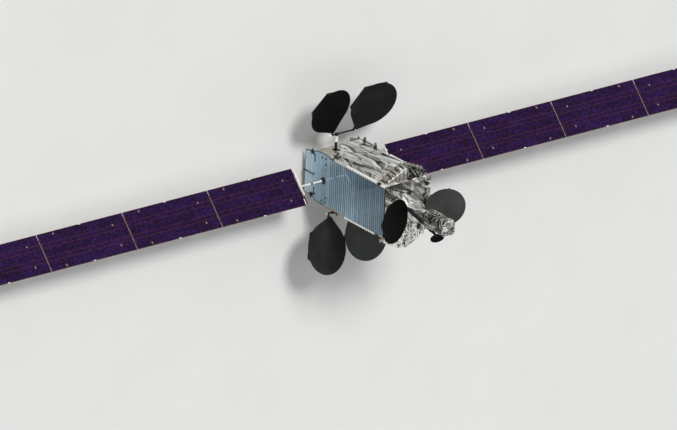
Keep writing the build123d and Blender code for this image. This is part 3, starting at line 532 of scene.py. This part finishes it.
def makeFilm(name, look):
    corners, run = np.array(look["path"]), np.array(look["run"])
    legs = np.diff(corners, axis=0)
    lengths = np.linalg.norm(legs, axis=1)
    reach = np.concatenate([[0.0], np.cumsum(lengths)])
    runLength = np.linalg.norm(run)
    direction = run / runLength
    v = np.linspace(0.0, reach[-1], round(reach[-1] / look["step"]) + 1)
    u = np.linspace(0.0, runLength, round(runLength / look["step"]) + 1)[:, None]
    base = np.stack([np.interp(v, reach, corners[:, axis]) for axis in range(3)], axis=-1)
    base = base[None] + direction * u[..., None]
    outward = np.cross(legs / lengths[:, None], direction)
    normal = outward[np.clip(np.searchsorted(reach, v, side="right") - 1, 0, len(legs) - 1)]
    height, tone = foldField(u, v[None], look)
    tan = np.zeros(height.shape)
    if "tanEdge" in look:
        edge = np.interp(base[..., 1], *look["tanEdge"])
        tan = laid["tanShare"] * np.clip((edge - base[..., 2]) / laid["tanSoft"], 0.0, 1.0)
        tan = tan * (base[..., 1] > look["tanEdge"][0][0])
    for *patch, lift in look.get("humps", []):
        height = height + lift * (1.0 - boxFade(u, v[None], patch, laid["humpSoft"])) ** laid["humpCurve"]
    # painted shade: the tone is lowered inside each shaded patch, with a soft edge
    for *patch, amount in look.get("shaded", []):
        tone = np.clip(tone - amount * (1.0 - boxFade(u, v[None], patch, laid["shadeSoft"])), 0.0, 1.0)
    fade = endFade(v, reach[-1], look.get("edge", laid["edge"])) * endFade(u, runLength, laid["edge"])
    for patch in look.get("held", []):
        fade = fade * boxFade(u, v[None], patch, laid["heldSoft"])
    rise = laid["least"] + np.maximum(height, 0.0) * fade * (1.0 - laid["tanFlat"] * tan)
    # two more columns close the sheet behind
    inward = outward[len(legs) // 2] * laid["backDepth"]
    inset = laid["backInset"] * legs / lengths[:, None]
    back = np.stack([base[:, -1] - inward - inset[-1], base[:, 0] - inward + inset[0]], axis=1)
    points = np.concatenate([base + normal[None] * rise[..., None], back], axis=1)
    extra = ((0, 0), (0, 2))
    # the crease attribute carries the painted shade, glints and reflection tones of the folds
    values = {"crease": np.pad(tone, extra, constant_values=0.5), "tan": np.pad(tan, extra)}
    makePiece(name, tubeShape(points), look.get("film", silverFilm), "bus", smooth=True,
              values=values)


for name, look in films.items():
    makeFilm(name, look)

# Film wraps: eight-sided sections joined upwards and drawn in to the middle of the top.
# sections: height, half sizes in x and y, cut at the corners
wraps = {
    "towerBlanket": {
        "centre": (0.060, 0.0), "step": 0.0105, "angle": 10.0, "seed": 71, "folds": hoodFolds,
        "sections": [(5.132, 0.156, 0.156, 0.012), (6.394, 0.156, 0.156, 0.012),
                     (6.398, 0.004, 0.004, 0.001)]},
    "headBlanket": {
        "centre": (0.060, 0.0), "step": 0.0105, "angle": 70.0, "seed": 77, "folds": smallFolds,
        "sections": [(6.375, 0.150, 0.150, 0.012), (6.415, 0.291, 0.291, 0.090),
                     (7.614, 0.291, 0.291, 0.090), (7.618, 0.004, 0.004, 0.001)], "film": sparklingFilm},
    "unitBlanket": {
        "centre": (-0.830, -0.120), "step": 0.0110, "angle": 30.0, "seed": 83, "folds": hoodFolds,
        "sections": [(5.132, 0.178, 0.238, 0.044), (5.286, 0.178, 0.238, 0.044),
                     (5.290, 0.004, 0.006, 0.001)]}}
wrapTopFade = 0.10  # width over which the folds die out at the middle of the top


def makeWrap(name, look):
    # a point of a section's edge is a blend of the edge's two corners, and the film stands off along the
    # profile's normal
    sections = np.array(look["sections"])
    halfX = sections[:, 1]
    corners = np.array([cutRectangle(*row[1:]) for row in sections])
    runs = np.linalg.norm(np.roll(corners, -1, axis=1) - corners, axis=-1).max(axis=0)
    rises, draws = np.diff(sections[:, 0]), np.diff(halfX)
    reach = np.concatenate([[0.0], np.cumsum(np.hypot(rises, draws))])
    u = np.linspace(0.0, reach[-1], round(reach[-1] / look["step"]) + 1)
    cornerRows = np.stack([np.stack([np.interp(u, reach, corners[:, corner, axis]) for axis in (0, 1)], -1)
                           for corner in range(8)], axis=1)
    z = np.interp(u, reach, sections[:, 0])
    leg = np.clip(np.searchsorted(reach, u, side="right") - 1, 0, len(rises) - 1)
    along = np.stack([rises, draws], -1)[leg] / np.hypot(rises, draws)[leg][:, None]
    widest = corners[np.argmax(halfX)]
    columns, normals, v, start = [], [], [], 0.0
    for corner, run in enumerate(runs):
        after = (corner + 1) % 8
        share = np.linspace(0.0, 1.0, max(2, round(run / look["step"])), endpoint=False)[None, :, None]
        edge = (widest[after] - widest[corner]) / np.linalg.norm(widest[after] - widest[corner])
        columns.append(cornerRows[:, corner, None] * (1.0 - share) + cornerRows[:, after, None] * share)
        normals.append(np.repeat([[edge[1], -edge[0]]], share.shape[1], axis=0))
        v.append(start + share[0, :, 0] * run)
        start += run
    flat, sideways, v = np.concatenate(columns, axis=1), np.concatenate(normals), np.concatenate(v)
    height, tone = foldField(u[:, None], v[None], look, wrap=start)
    # the top is folded over its own x and y, so that no fold runs to its middle
    top = leg == len(rises) - 1
    height[top], tone[top] = foldField(flat[top][..., 0], flat[top][..., 1], look)
    fade = np.clip((reach[-1] - u) / wrapTopFade, 0.0, 1.0)[:, None]
    rise = (np.maximum(height, 0.0) * fade)[..., None]
    points = np.concatenate([flat + np.array(look["centre"]) + sideways[None] * rise * along[:, None, :1],
                             z[:, None, None] - rise * along[:, None, 1:]], axis=-1)
    # the crease attribute carries the painted shade, glints and reflection tones of the folds
    makePiece(name, tubeShape(points), look.get("film", silverFilm), "bus", smooth=True,
              values={"crease": tone, "tan": 0.0 * tone})


for name, look in wraps.items():
    makeWrap(name, look)
print("film laid")

# Radiator mirrors: tiles in rows across each radiator, each a hair out of line with its neighbours.
# step across and along the body, and the bond line left bare between rows, drawn wide enough to show
mirrors = {"payload": {"step": (0.0980, 0.1176), "low": 1.642, "high": 5.088, "half": 0.980, "bond": 0.034},
           "bus": {"step": (0.0500, 0.0595), "low": 0.232, "high": 1.628, "half": 1.10, "bond": 0.010},
           "gap": 0.004, "thick": 0.0015, "sunk": 0.0005, "tilt": 0.0012, "seed": 5,
           # tone: at the foot, lost a metre (a painted reflection that darkens upwards), random parts of rows
           # and tiles
           "tone": 0.80, "fall": 0.115, "rowTone": 0.17, "tileTone": 0.06,
           # painted reflection of the floor, a paler belt: tone, height, half height
           "floorReflectionBelt": (0.09, 2.9, 0.8),
           # paler rows near the aft edge
           "brightRows": (0.31, 0.49, 0.64), "brightHalf": 0.030, "brightTone": 0.4,
           # bus tiles stay out of this radius round the drives and inside this outline in x and z
           "driveClear": 0.145,
           "outline": [(-0.805, 0.230), (0.880, 0.230), (1.090, 1.090), (1.080, 1.630), (-1.015, 1.630),
                       (-0.965, 0.860), (-0.850, 0.840)]}
boxSides = np.array([(3, 2, 1, 0), (4, 5, 6, 7), (0, 1, 5, 4), (1, 2, 6, 5), (2, 3, 7, 6), (3, 0, 4, 7)])
boxCorners = np.array([(-1, -1), (1, -1), (1, 1), (-1, 1)])


def tileGrid(first, second, firstHalf, secondHalf, low, high):
    # one closed block per tile from its middle, half sizes and the four heights of its outer corners
    a = first[:, None] + firstHalf[:, None] * boxCorners[:, 0]
    b = second[:, None] + secondHalf * boxCorners[:, 1]
    points = np.concatenate([np.stack([a, b, level + 0.0 * a], -1) for level in (low, high)], axis=1)
    faces = (np.arange(len(first)) * 8)[:, None, None] + boxSides
    return points.reshape(-1, 3), [faces.reshape(-1, 4)]


def insideOutline(x, z, outline):
    # even-odd rule, on whole arrays
    inside = np.zeros(x.shape, dtype=bool)
    for (xa, za), (xb, zb) in zip(outline, outline[1:] + outline[:1]):
        crosses = (za > z) != (zb > z)
        inside ^= crosses & (x < xa + (z - za) / (zb - za + 1e-12) * (xb - xa))
    return inside


def makeMirrors(look):
    rng = np.random.default_rng(look["seed"])
    beltTone, beltZ, beltHalf = look["floorReflectionBelt"]
    for side, sideName in sideNames.items():
        shapes, tones = [], []
        for kind in ("payload", "bus"):
            (stepX, stepZ), lowZ, highZ = look[kind]["step"], look[kind]["low"], look[kind]["high"]
            countX, countZ = int(2 * look[kind]["half"] / stepX), int((highZ - lowZ) / stepZ)
            x = (np.arange(countX) - (countX - 1) / 2) * stepX
            z = lowZ + (highZ - lowZ - countZ * stepZ) / 2 + (np.arange(countZ) + 0.5) * stepZ
            gridX, gridZ = (grid.ravel() for grid in np.meshgrid(x, z))
            if kind == "bus":
                keep = np.hypot(gridX, gridZ - driveZ) > look["driveClear"]
                for offsetX, offsetZ in boxCorners / 2.0:
                    keep &= insideOutline(gridX + offsetX * stepX, gridZ + offsetZ * stepZ, look["outline"])
                gridX, gridZ = gridX[keep], gridZ[keep]
            rows = rng.random(400)[np.round(gridZ / stepZ).astype(int)]
            # painted reflection of the floor: its tone x e^-((z - height) / half height)^2
            floorReflectionBelt = beltTone * np.exp(-((gridZ - beltZ) / beltHalf) ** 2)
            # painted reflection: paler at the foot and in the floor's belt, darker higher up
            tone = (look["tone"] - look["fall"] * gridZ + floorReflectionBelt + look["rowTone"] * (rows - 0.5)
                    + look["tileTone"] * (rng.random(len(gridX)) - 0.5))
            for bright in look["brightRows"]:
                tone = tone + look["brightTone"] * (np.abs(gridZ - bright) < look["brightHalf"])
            lean = rng.normal(0.0, look["tilt"], (2, len(gridX), 1)) * (stepX / 2.0)
            high = faceY + look["thick"] + lean[0] * boxCorners[:, 0] + lean[1] * boxCorners[:, 1]
            halfX = np.full(len(gridX), (stepX - look["gap"]) / 2)
            points, faces = tileGrid(gridX, gridZ, halfX, (stepZ - look[kind]["bond"]) / 2,
                                     faceY - look["sunk"], high)
            shapes.append((points[:, (0, 2, 1)] * (1.0, side, 1.0), faces if side < 0 else flipped(faces)))
            tones.append(np.repeat(tone, 8))
        makePiece(sideName + "MirrorTiles", joinShapes(shapes), mirrorTile, "bus",
                  values={"tone": np.concatenate(tones)})


makeMirrors(mirrors)
print("mirrors laid")

# Shear strips: white tape in pleats along the payload radiators' long edges
strips = {"pitch": 0.132, "depth": 0.018, "low": 2.680, "high": 4.550, "x": (0.982, 1.084),
          "y": (0.976, 1.069), "rows": 361, "around": 24, "pleatCurve": 0.6, "toneCurve": 1.5,
          # black junction box past the deck end of each strip
          "box": (1.018, 1.010, 4.655), "boxSize": (0.110, 0.100, 0.150), "boxEase": 0.010}


def makeStrips(look):
    # a squared circle carried up z and drawn in by depth x (1 - |sin(pi z / pitch)|^0.6)
    z = np.linspace(look["low"], look["high"], look["rows"])
    pleat = np.abs(np.sin(np.pi * (z - look["low"]) / look["pitch"])) ** look["pleatCurve"]
    swell = (look["depth"] * (pleat - 1.0))[:, None]
    turn = fullTurn(look["around"])
    x, y = (sum(ends) / 2 + ((ends[1] - ends[0]) / 2 + swell) * squared(turn) * wave
            for ends, wave in ((look["x"], np.cos(turn)), (look["y"], np.sin(turn))))
    shapes = []
    for signX, signY in bodyCorners:
        points = np.stack([signX * x, signY * y, z[:, None] + 0.0 * x], axis=-1)
        shapes.append(tubeShape(points if signX * signY > 0 else points[:, ::-1]))
    # painted shade: darker where each pleat sinks in
    tone = np.tile(np.repeat(pleat ** look["toneCurve"], len(turn)), len(shapes))
    piece = makePiece("pleatedStrips", joinShapes(shapes), pleatedTape, "bus", smooth=True,
                      values={"tone": tone})
    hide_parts("edge_strips")
    x, y, height = look["box"]
    places = [Matrix.Translation((signX * x, signY * y, height)) for signX, signY in bodyCorners]
    makePiece("stripBoxes", manyShapes(easedBlock(look["boxSize"], look["boxEase"]), places), blackAnodised,
              "bus")


makeStrips(strips)

# Wing cells: covered cells in strings, with bare rows and corners left for diodes and hold-downs
cells = {"across": 0.0785, "along": 0.0665, "gap": 0.0035, "thick": 0.0012, "sunk": 0.0004, "border": 0.022,
         # tone: least, random part, part that wanders over a panel, and its cells a metre
         "seed": 17, "tone": (0.15, 0.60, 0.25), "wander": (3.0, 1.2), "wanderSeed": 3,
         # bare rows as shares of the width
         "bareRows": (0.27, 0.38, 0.62, 0.73), "rowWidth": 0.020,
         # bare patches round the hold-downs: share of the length and of the width, radius
         "holdDowns": ((0.15, 0.21, 0.060), (0.15, 0.76, 0.060), (0.82, 0.070, 0.060),
                       (0.82, 0.930, 0.060))}


def wingShape(shape, side):
    # points as u across the wing, w out along it, h above the panels: turned by the drive angle
    points, faces = shape
    u, w, h = points.T
    cosine, sine = math.cos(wingAngle), math.sin(wingAngle)
    placed = np.stack([u * cosine + h * sine, side * w, driveZ - u * sine + h * cosine], axis=-1)
    return placed, faces if side > 0 else flipped(faces)


def acrossPanel(share):
    return panelHalf * (2.0 * share - 1.0)


def eachPanel():
    # side, body and inner end of every panel
    return [(side, f"{sideName}_panel_{number + 1}", firstHinge + number * panelPitch + panelGap)
            for side, sideName in sideNames.items() for number in range(4)]


def makeCells(look):
    rng = np.random.default_rng(look["seed"])
    least, own, shared = look["tone"]
    rows = int((panelLength - 2 * look["border"]) / look["along"])
    pitch = (panelLength - 2 * look["border"]) / rows
    bare, half = [acrossPanel(share) for share in look["bareRows"]], look["rowWidth"] / 2
    starts = [-panelHalf + look["border"]] + [edge + half for edge in bare]
    ends = [edge - half for edge in bare] + [panelHalf - look["border"]]
    centres, widths = [], []
    for start, end in zip(starts, ends):
        count = max(1, round((end - start) / look["across"]))
        centres.append(start + (np.arange(count) + 0.5) * (end - start) / count)
        widths.append(np.full(count, (end - start) / count))
    u, width = np.concatenate(centres), np.concatenate(widths)
    for side, body, inner in eachPanel():
        w = inner + look["border"] + (np.arange(rows) + 0.5) * pitch
        gridU, gridW = (grid.ravel() for grid in np.meshgrid(u, w))
        gridWidth = np.meshgrid(width, w)[0].ravel()
        keep = np.ones(len(gridU), dtype=bool)
        for along, across, radius in look["holdDowns"]:
            keep &= np.hypot(gridU - acrossPanel(across), gridW - (inner + along * panelLength)) > radius
        gridU, gridW, gridWidth = gridU[keep], gridW[keep], gridWidth[keep]
        shape = tileGrid(gridU, gridW, (gridWidth - look["gap"]) / 2, (pitch - look["gap"]) / 2,
                         panelFace - look["sunk"], panelFace + look["thick"])
        # u is moved by 9 cells, so that the noise is read above 0
        wander = valueNoise(gridU * look["wander"][0] + 9.0, gridW * look["wander"][1], look["wanderSeed"])
        tone = least + own * rng.random(len(gridU)) + shared * wander
        makePiece(f"{body}Cells", wingShape(shape, side), cellGlass, body,
                  values={"tone": np.repeat(tone, 8)})


makeCells(cells)
print("cells laid")

# Panel fittings: hold-down bushings, edge plates at mid-length, harness tape and diode pads on the back
panelFittings = {
    "bushing": [(0.034, -0.0335), (0.034, 0.0170), (0.030, 0.0200), (0.016, 0.0200), (0.012, 0.0175)],
    "edgePlate": (0.030, 0.110, 0.034), "edgeInset": 0.013, "plateEase": 0.004,
    # white plate at the first panels' lower inner corner: size and middle across the wing
    "cornerPlate": (0.260, 0.040, 0.036), "cornerMiddle": -0.625,
    # harness: places across, width and thickness, and what is left free at the ends
    "ribbons": (-0.46, -0.02, 0.46), "ribbon": (0.046, 0.0022), "ribbonEnd": 0.06,
    "crossTape": (0.30, 0.70), "crossEnd": 0.05,
    "pads": 10, "pad": (0.10, 0.05, 0.003), "padEase": 0.001, "padMiddle": 0.22, "padLift": 0.001}


def flatTape(start, end, width, thick):
    # a shallow strip on the back face, arched by thick x (1 - (2 s - 1)^4) over its width; its edges stand
    # 0.2 mm proud and its inner side lies 1 mm inside the panel
    start, run = np.array(start), np.array(end) - np.array(start)
    across = np.array([-run[1], run[0]]) / np.linalg.norm(run) * width
    s, t = np.linspace(0.0, 1.0, 7), np.linspace(0.0, 1.0, 24)[:, None]
    flat = (start + t * run)[:, None] + (s[None, :, None] - 0.5) * across
    crown = (-panelFace - thick * (1.0 - (2.0 * s - 1.0) ** 4) - 0.0002)[None, :, None] + 0.0 * flat[..., :1]
    outer = np.concatenate([flat, crown], axis=-1)
    inner = np.concatenate([flat[:, ::-1], np.full_like(crown, -panelFace + 0.001)], axis=-1)
    points, faces = tubeShape(np.concatenate([outer, inner], axis=1))
    return points, flipped(faces)


def blocks(size, ease, places):
    return manyShapes(easedBlock(size, ease), [Matrix.Translation(place) for place in places])


def makePanelFittings(look):
    edge, free = panelHalf - look["edgeInset"], panelHalf - look["crossEnd"]
    for side, body, inner in eachPanel():
        places = [Matrix.Translation((acrossPanel(across), inner + along * panelLength, 0.0))
                  for along, across, _ in cells["holdDowns"]]
        bushings = manyShapes(turnedShape(look["bushing"], 16), places)
        makePiece(f"{body}Bushings", wingShape(bushings, side), boltMetal, body)
        plates = blocks(look["edgePlate"], look["plateEase"],
                        [(sign * edge, inner + 0.5 * panelLength, 0.0) for sign in (-1, 1)])
        if body.endswith("1"):
            place = (look["cornerMiddle"], inner + 0.5 * look["cornerPlate"][1], 0.0)
            plates = joinShapes([plates, blocks(look["cornerPlate"], look["plateEase"], [place])])
        makePiece(f"{body}EdgePlates", wingShape(plates, side), whitePaint, body)
        lines = [((u, inner + look["ribbonEnd"]), (u, inner + panelLength - look["ribbonEnd"]))
                 for u in look["ribbons"]]
        lines += [((-free, inner + share * panelLength), (free, inner + share * panelLength))
                  for share in look["crossTape"]]
        tapes = joinShapes([flatTape(*line, *look["ribbon"]) for line in lines])
        makePiece(f"{body}Harness", wingShape(tapes, side), harnessTape, body)
        pads = [(look["padMiddle"], inner + (place + 0.5) / look["pads"] * panelLength,
                 -panelFace - look["padLift"]) for place in range(look["pads"])]
        makePiece(f"{body}DiodePads", wingShape(blocks(look["pad"], look["padEase"], pads), side),
                  blackAnodised, body)


makePanelFittings(panelFittings)
print("panels fitted")

# Turned fittings: profile as radius and height, points round it, finish, slot, and where they stand.
# knobs on the east face, as y and z
knobs = {"profile": [(0.034, 0.0), (0.034, 0.012), (0.020, 0.022), (0.020, 0.040), (0.027, 0.045),
                     (0.027, 0.058), (0.018, 0.062)],
         "around": 20, "finish": blackAnodised, "slot": "dark_fitting", "x": 1.062,
         "at": [(0.650, 1.503), (0.849, 1.777), (0.915, 2.005), (0.137, 1.394), (0.434, 1.469)]}
# studs on the bus radiators, as x and z
studs = {"profile": [(0.036, -0.0005), (0.036, 0.012), (0.022, 0.020), (0.022, 0.030), (0.012, 0.034)],
         "around": 18, "finish": blackAnodised, "slot": "dark_fitting",
         "at": [(0.903, 1.257), (0.909, 1.480), (0.690, 1.500), (-0.705, 0.900), (-0.844, 1.303),
                (-0.646, 1.547), (-0.816, 1.529)]}
bolts = {"profile": [(0.010, -0.002), (0.010, 0.006), (0.008, 0.008)], "around": 6, "finish": boltMetal,
         "slot": "ring_metal",
         # circles on the drives and on the ring's flange: count, radius, y or z
         "drive": (12, 0.076, 1.100), "ring": (36, 0.609, 0.406),
         # fours on the bases of the masts and of the pedestals
         "mastX": 1.085, "mastY": (0.350, 0.510), "mastZ": (1.150, 1.310),
         "pedestalX": (-0.068, 0.068), "pedestalY": (0.832, 0.968), "pedestalZ": deckTop + 0.020}
# clamp band round each yoke's collar
bands = {"profile": [(0.0345, 0.0), (0.0425, 0.002), (0.0445, 0.012), (0.0445, 0.058), (0.0425, 0.068),
                     (0.0345, 0.070)],
         "around": 24, "finish": blackAnodised, "slot": "dark_fitting", "y": 1.595}
# motor beside each side reflector's hinge: x, then y and the way it points
motors = {"profile": [(0.030, 0.0), (0.046, 0.004), (0.050, 0.014), (0.050, 0.066), (0.040, 0.080),
                      (0.018, 0.086)],
          "around": 20, "finish": whitePaint, "slot": "white_tube",
          "x": (1.700, -1.480), "y": ((0.680, 1), (-0.430, -1))}


def boltPlaces(look):
    places = []
    count, radius, y = look["drive"]
    for side in sideNames:
        places += [frameAt((radius * math.cos(turn), side * y, driveZ + radius * math.sin(turn)),
                           (0, side, 0)) for turn in fullTurn(count)]
    for sign in (1, -1):
        places += [frameAt((sign * look["mastX"], y, z), (sign, 0, 0)) for y in look["mastY"]
                   for z in look["mastZ"]]
    for side in sideNames:
        places += [frameAt((x, side * y, look["pedestalZ"]), (0, 0, 1)) for x in look["pedestalX"]
                   for y in look["pedestalY"]]
    count, radius, z = look["ring"]
    return places + [frameAt((radius * math.cos(turn), radius * math.sin(turn), z), (0, 0, -1))
                     for turn in fullTurn(count)]


def makeTurned(name, look, places, body="bus", smooth=False):
    makePiece(name, manyShapes(turnedShape(look["profile"], look["around"]), places), look["finish"], body,
              smooth=smooth)


makeTurned("eastKnobs", knobs, [frameAt((knobs["x"], y, z), (1, 0, 0)) for y, z in knobs["at"]])
makeTurned("radiatorStuds", studs,
           [frameAt((x, side * faceY, z), (0, side, 0)) for side in sideNames for x, z in studs["at"]])
makeTurned("bolts", bolts, boltPlaces(bolts))
for side, sideName in sideNames.items():
    makeTurned(sideName + "YokeBand", bands, [frameAt((0.0, side * bands["y"], driveZ), (0, side, 0))],
               sideName + "_yoke")
makeTurned("hingeMotors", motors,
           [frameAt((x, y, mastZ), (0, away, 0)) for x in motors["x"] for y, away in motors["y"]],
           smooth=True)

# White sleeves of film round the masts' columns: side, root and tip in x, least radius and its gathers
sleeves = {"ends": ((1, 1.400, 1.640), (-1, 1.180, 1.420)), "rows": 60, "around": 40, "radius": 0.058,
           "gather": 0.012}


def gathers(s, turn, around, seed, cells):
    # two layers of noise over a tube, closed round it; s runs along it
    return (valueNoise(s * cells, 3.0 + around * np.cos(turn), seed)
            + valueNoise(s * 9.0, 3.0 + 2.0 * np.sin(turn), seed + 1))


def makeSleeves(look):
    # radius x squared circle with soft gathers, drawn in to 0.93 at both ends
    s, turn = np.linspace(0.0, 1.0, look["rows"])[:, None], fullTurn(look["around"])[None]
    radius = look["radius"] + look["gather"] * gathers(s, turn, 2.0, 9, 14.0)
    radius = radius * np.minimum(1.0, 0.93 + 0.6 * np.minimum(s, 1.0 - s)) * squared(turn)
    shapes = []
    for sign, root, tip in look["ends"]:
        x = root + (tip - root) * s + 0.0 * turn
        y, z = mastY + radius * np.cos(turn), mastZ + sign * radius * np.sin(turn)
        shapes.append(tubeShape(np.stack([sign * x, y, z], -1)))
    makePiece("mastSleeves", joinShapes(shapes), whiteSleeve, "bus", smooth=True)


makeSleeves(sleeves)

# Tapes on both sides of the body: size, x and height, finish
tapes = {
    # over the seam between the two radiators of a side
    "seamTapes": ((1.960, 0.006, 0.056), (0.025, 1.640), aluminiumTape),
    # along each payload radiator's west edge, aft of the strip
    "edgeTapes": ((0.040, 0.008, 0.980), (-0.996, 2.170), harnessTape)}
tapeEase = 0.0015
for name, (size, (x, height), finish) in tapes.items():
    shape = blocks(size, tapeEase, [(x, side * faceY, height) for side in sideNames])
    makePiece(name, shape, finish, "bus")

# Bare south row of the east feeds: first box, step to the next one, count, cap and rail with their eases
feeds = {"first": (1.536, 0.089, 5.006), "step": (-0.085, 0.185), "count": 5,
         "cap": ((0.094, 0.094, 0.030), 0.008), "rail": ((0.030, 0.820, 0.016), 0.004), "apart": 0.010}


def makeFeedCaps(look):
    (x, y, top), (stepX, stepY) = look["first"], look["step"]
    caps = blocks(*look["cap"], [(x + stepX * place, y + stepY * place, top - look["apart"])
                                 for place in range(look["count"])])
    half = (look["count"] - 1) / 2
    middle = Matrix.Translation((x + stepX * half, y + stepY * half, top + look["apart"]))
    turned = middle @ Matrix.Rotation(math.atan2(-stepX, stepY), 4, "Z")
    rail = manyShapes(easedBlock(*look["rail"]), [turned])
    makePiece("feedCaps", joinShapes([caps, rail]), whiteSleeve, "bus")


makeFeedCaps(feeds)

# Slack black film round the spot antenna's arm: its turning points and radius
armFilm = {"path": [(0.110, 0.208, 5.40), (0.006, 0.265, 6.02), (-0.262, 0.070, 6.33), (-0.40, 0.022, 6.72)],
           "radius": 0.068, "rows": 90, "around": 28, "ease": 9}


def makeArmSleeve(look):
    # a ring carried along the path with its turns eased, radius x (0.8 to 1.1) by noise
    path, ease = np.array(look["path"]), look["ease"]
    reach = np.concatenate([[0.0], np.cumsum(np.linalg.norm(np.diff(path, axis=0), axis=1))])
    s, kernel = np.linspace(0.0, reach[-1], look["rows"]), np.hanning(ease) / np.hanning(ease).sum()
    lines = [np.pad(np.interp(s, reach, path[:, axis]), ease // 2, mode="edge") for axis in range(3)]
    eased = np.stack([np.convolve(line, kernel, mode="valid") for line in lines], -1)
    along = np.gradient(eased, axis=0)
    along /= np.linalg.norm(along, axis=1, keepdims=True)
    first = np.cross(along, (0.0, 1.0, 0.0))
    first /= np.linalg.norm(first, axis=1, keepdims=True)
    turn = fullTurn(look["around"])[None]
    radius = look["radius"] * (0.8 + 0.15 * gathers(s[:, None], turn, 2.5, 21, 16.0))
    radius = radius * np.minimum(1.0, 0.75 + 4.0 * np.minimum(s, reach[-1] - s))[:, None]
    points = (eased[:, None] + (radius * np.cos(turn))[..., None] * first[:, None]
              + (radius * np.sin(turn))[..., None] * np.cross(along, first)[:, None])
    makePiece("armSleeve", tubeShape(points), blackSleeve, "bus", smooth=True)


makeArmSleeve(armFilm)
print("fittings made")

# Stage: pale floor, one soft key light from above the east face, a weak fill and a plain grey sky.
# lamps: strength, where they shine from, softness in degrees
stage = {"floor": [(0.3, "dfdfdc"), (0.7, "e3e3e0")], "half": 110.0, "sky": ("e6e8ea", 0.55),
         "seen": "e9e9e6", "key": (2.1, (0.62, 0.16, 0.77), 14.0), "fill": (0.5, (0.1, 0.9, 0.45), 60.0)}


def makeStage(look):
    half = look["half"]
    mesh = bpy.data.meshes.new("floor")
    mesh.from_pydata([(-half, -half, 0.0), (half, -half, 0.0), (half, half, 0.0), (-half, half, 0.0)], [],
                     [(0, 1, 2, 3)])
    floor = bpy.data.objects.new("floor", mesh)
    bpy.context.scene.collection.objects.link(floor)
    # studio floor paper: matt, almost even
    mesh.materials.append(mottledMaterial("paleFloor", look["floor"], 0.3, 0.0001, Roughness=0.9))
    for name in ("key", "fill"):
        strength, source, soft = look[name]
        lamp = bpy.data.lights.new(name, "SUN")
        lamp.energy = strength
        lamp.angle = math.radians(soft)
        light = bpy.data.objects.new(name, lamp)
        light.rotation_mode = "QUATERNION"
        light.rotation_quaternion = Vector(source).to_track_quat("Z", "Y")
        bpy.context.scene.collection.objects.link(light)
    world = bpy.data.worlds.new("studioSky")
    world.use_nodes = True
    tree = world.node_tree
    sky = tree.nodes["Background"]
    fillSockets(tree, sky, {"Color": linearColour(look["sky"][0]), "Strength": look["sky"][1]})
    seen = addNode(tree, "Background", {"Color": linearColour(look["seen"]), "Strength": 1.0})
    path = addNode(tree, "LightPath").node.outputs
    # the plain background is also what mirrors and clear pieces show
    plain = path["Is Camera Ray"]
    for ray in ("Is Glossy Ray", "Is Transmission Ray"):
        plain = addNode(tree, "Math", {0: plain, 1: path[ray]}, operation="MAXIMUM")
    mix = addNode(tree, "MixShader", {0: plain, 1: sky.outputs[0], 2: seen})
    fillSockets(tree, tree.nodes["World Output"], {"Surface": mix})
    bpy.context.scene.world = world
    bpy.context.scene.view_settings.view_transform = "Standard"


makeStage(stage)

# Camera: very long lens along the photograph's line of sight. The anchor, the middle of the wings' axis,
# shows at the anchor pixel.
shot = {"right": (0.0421, -0.7898, 0.6128), "back": (0.388, 0.578, 0.718), "pixelsPerMetre": 26.6,
        "frame": (677.0, 430.0), "anchor": (0.0, 0.0, driveZ), "anchorPixel": (345.8, 174.7),
        "lens": 1000.0, "sensor": 36.0, "clip": (0.5, 2.0)}


def makeCamera(look):
    back = Vector(look["back"]).normalized()
    right = (Vector(look["right"]) - back * Vector(look["right"]).dot(back)).normalized()
    up = back.cross(right)
    scale = look["pixelsPerMetre"]
    across = (look["frame"][0] / 2 - look["anchorPixel"][0]) / scale
    above = (look["anchorPixel"][1] - look["frame"][1] / 2) / scale
    distance = look["frame"][0] / scale * look["lens"] / look["sensor"]
    lens = bpy.data.cameras.new("camera")
    lens.lens = look["lens"]
    lens.sensor_width = look["sensor"]
    lens.clip_start, lens.clip_end = (distance * share for share in look["clip"])
    camera = bpy.data.objects.new("camera", lens)
    matrix = Matrix((right, up, back)).transposed().to_4x4()
    matrix.translation = Vector(look["anchor"]) + right * across + up * above + back * distance
    camera.matrix_world = matrix
    bpy.context.scene.collection.objects.link(camera)
    bpy.context.scene.camera = camera


makeCamera(shot)
print("stage and camera set")
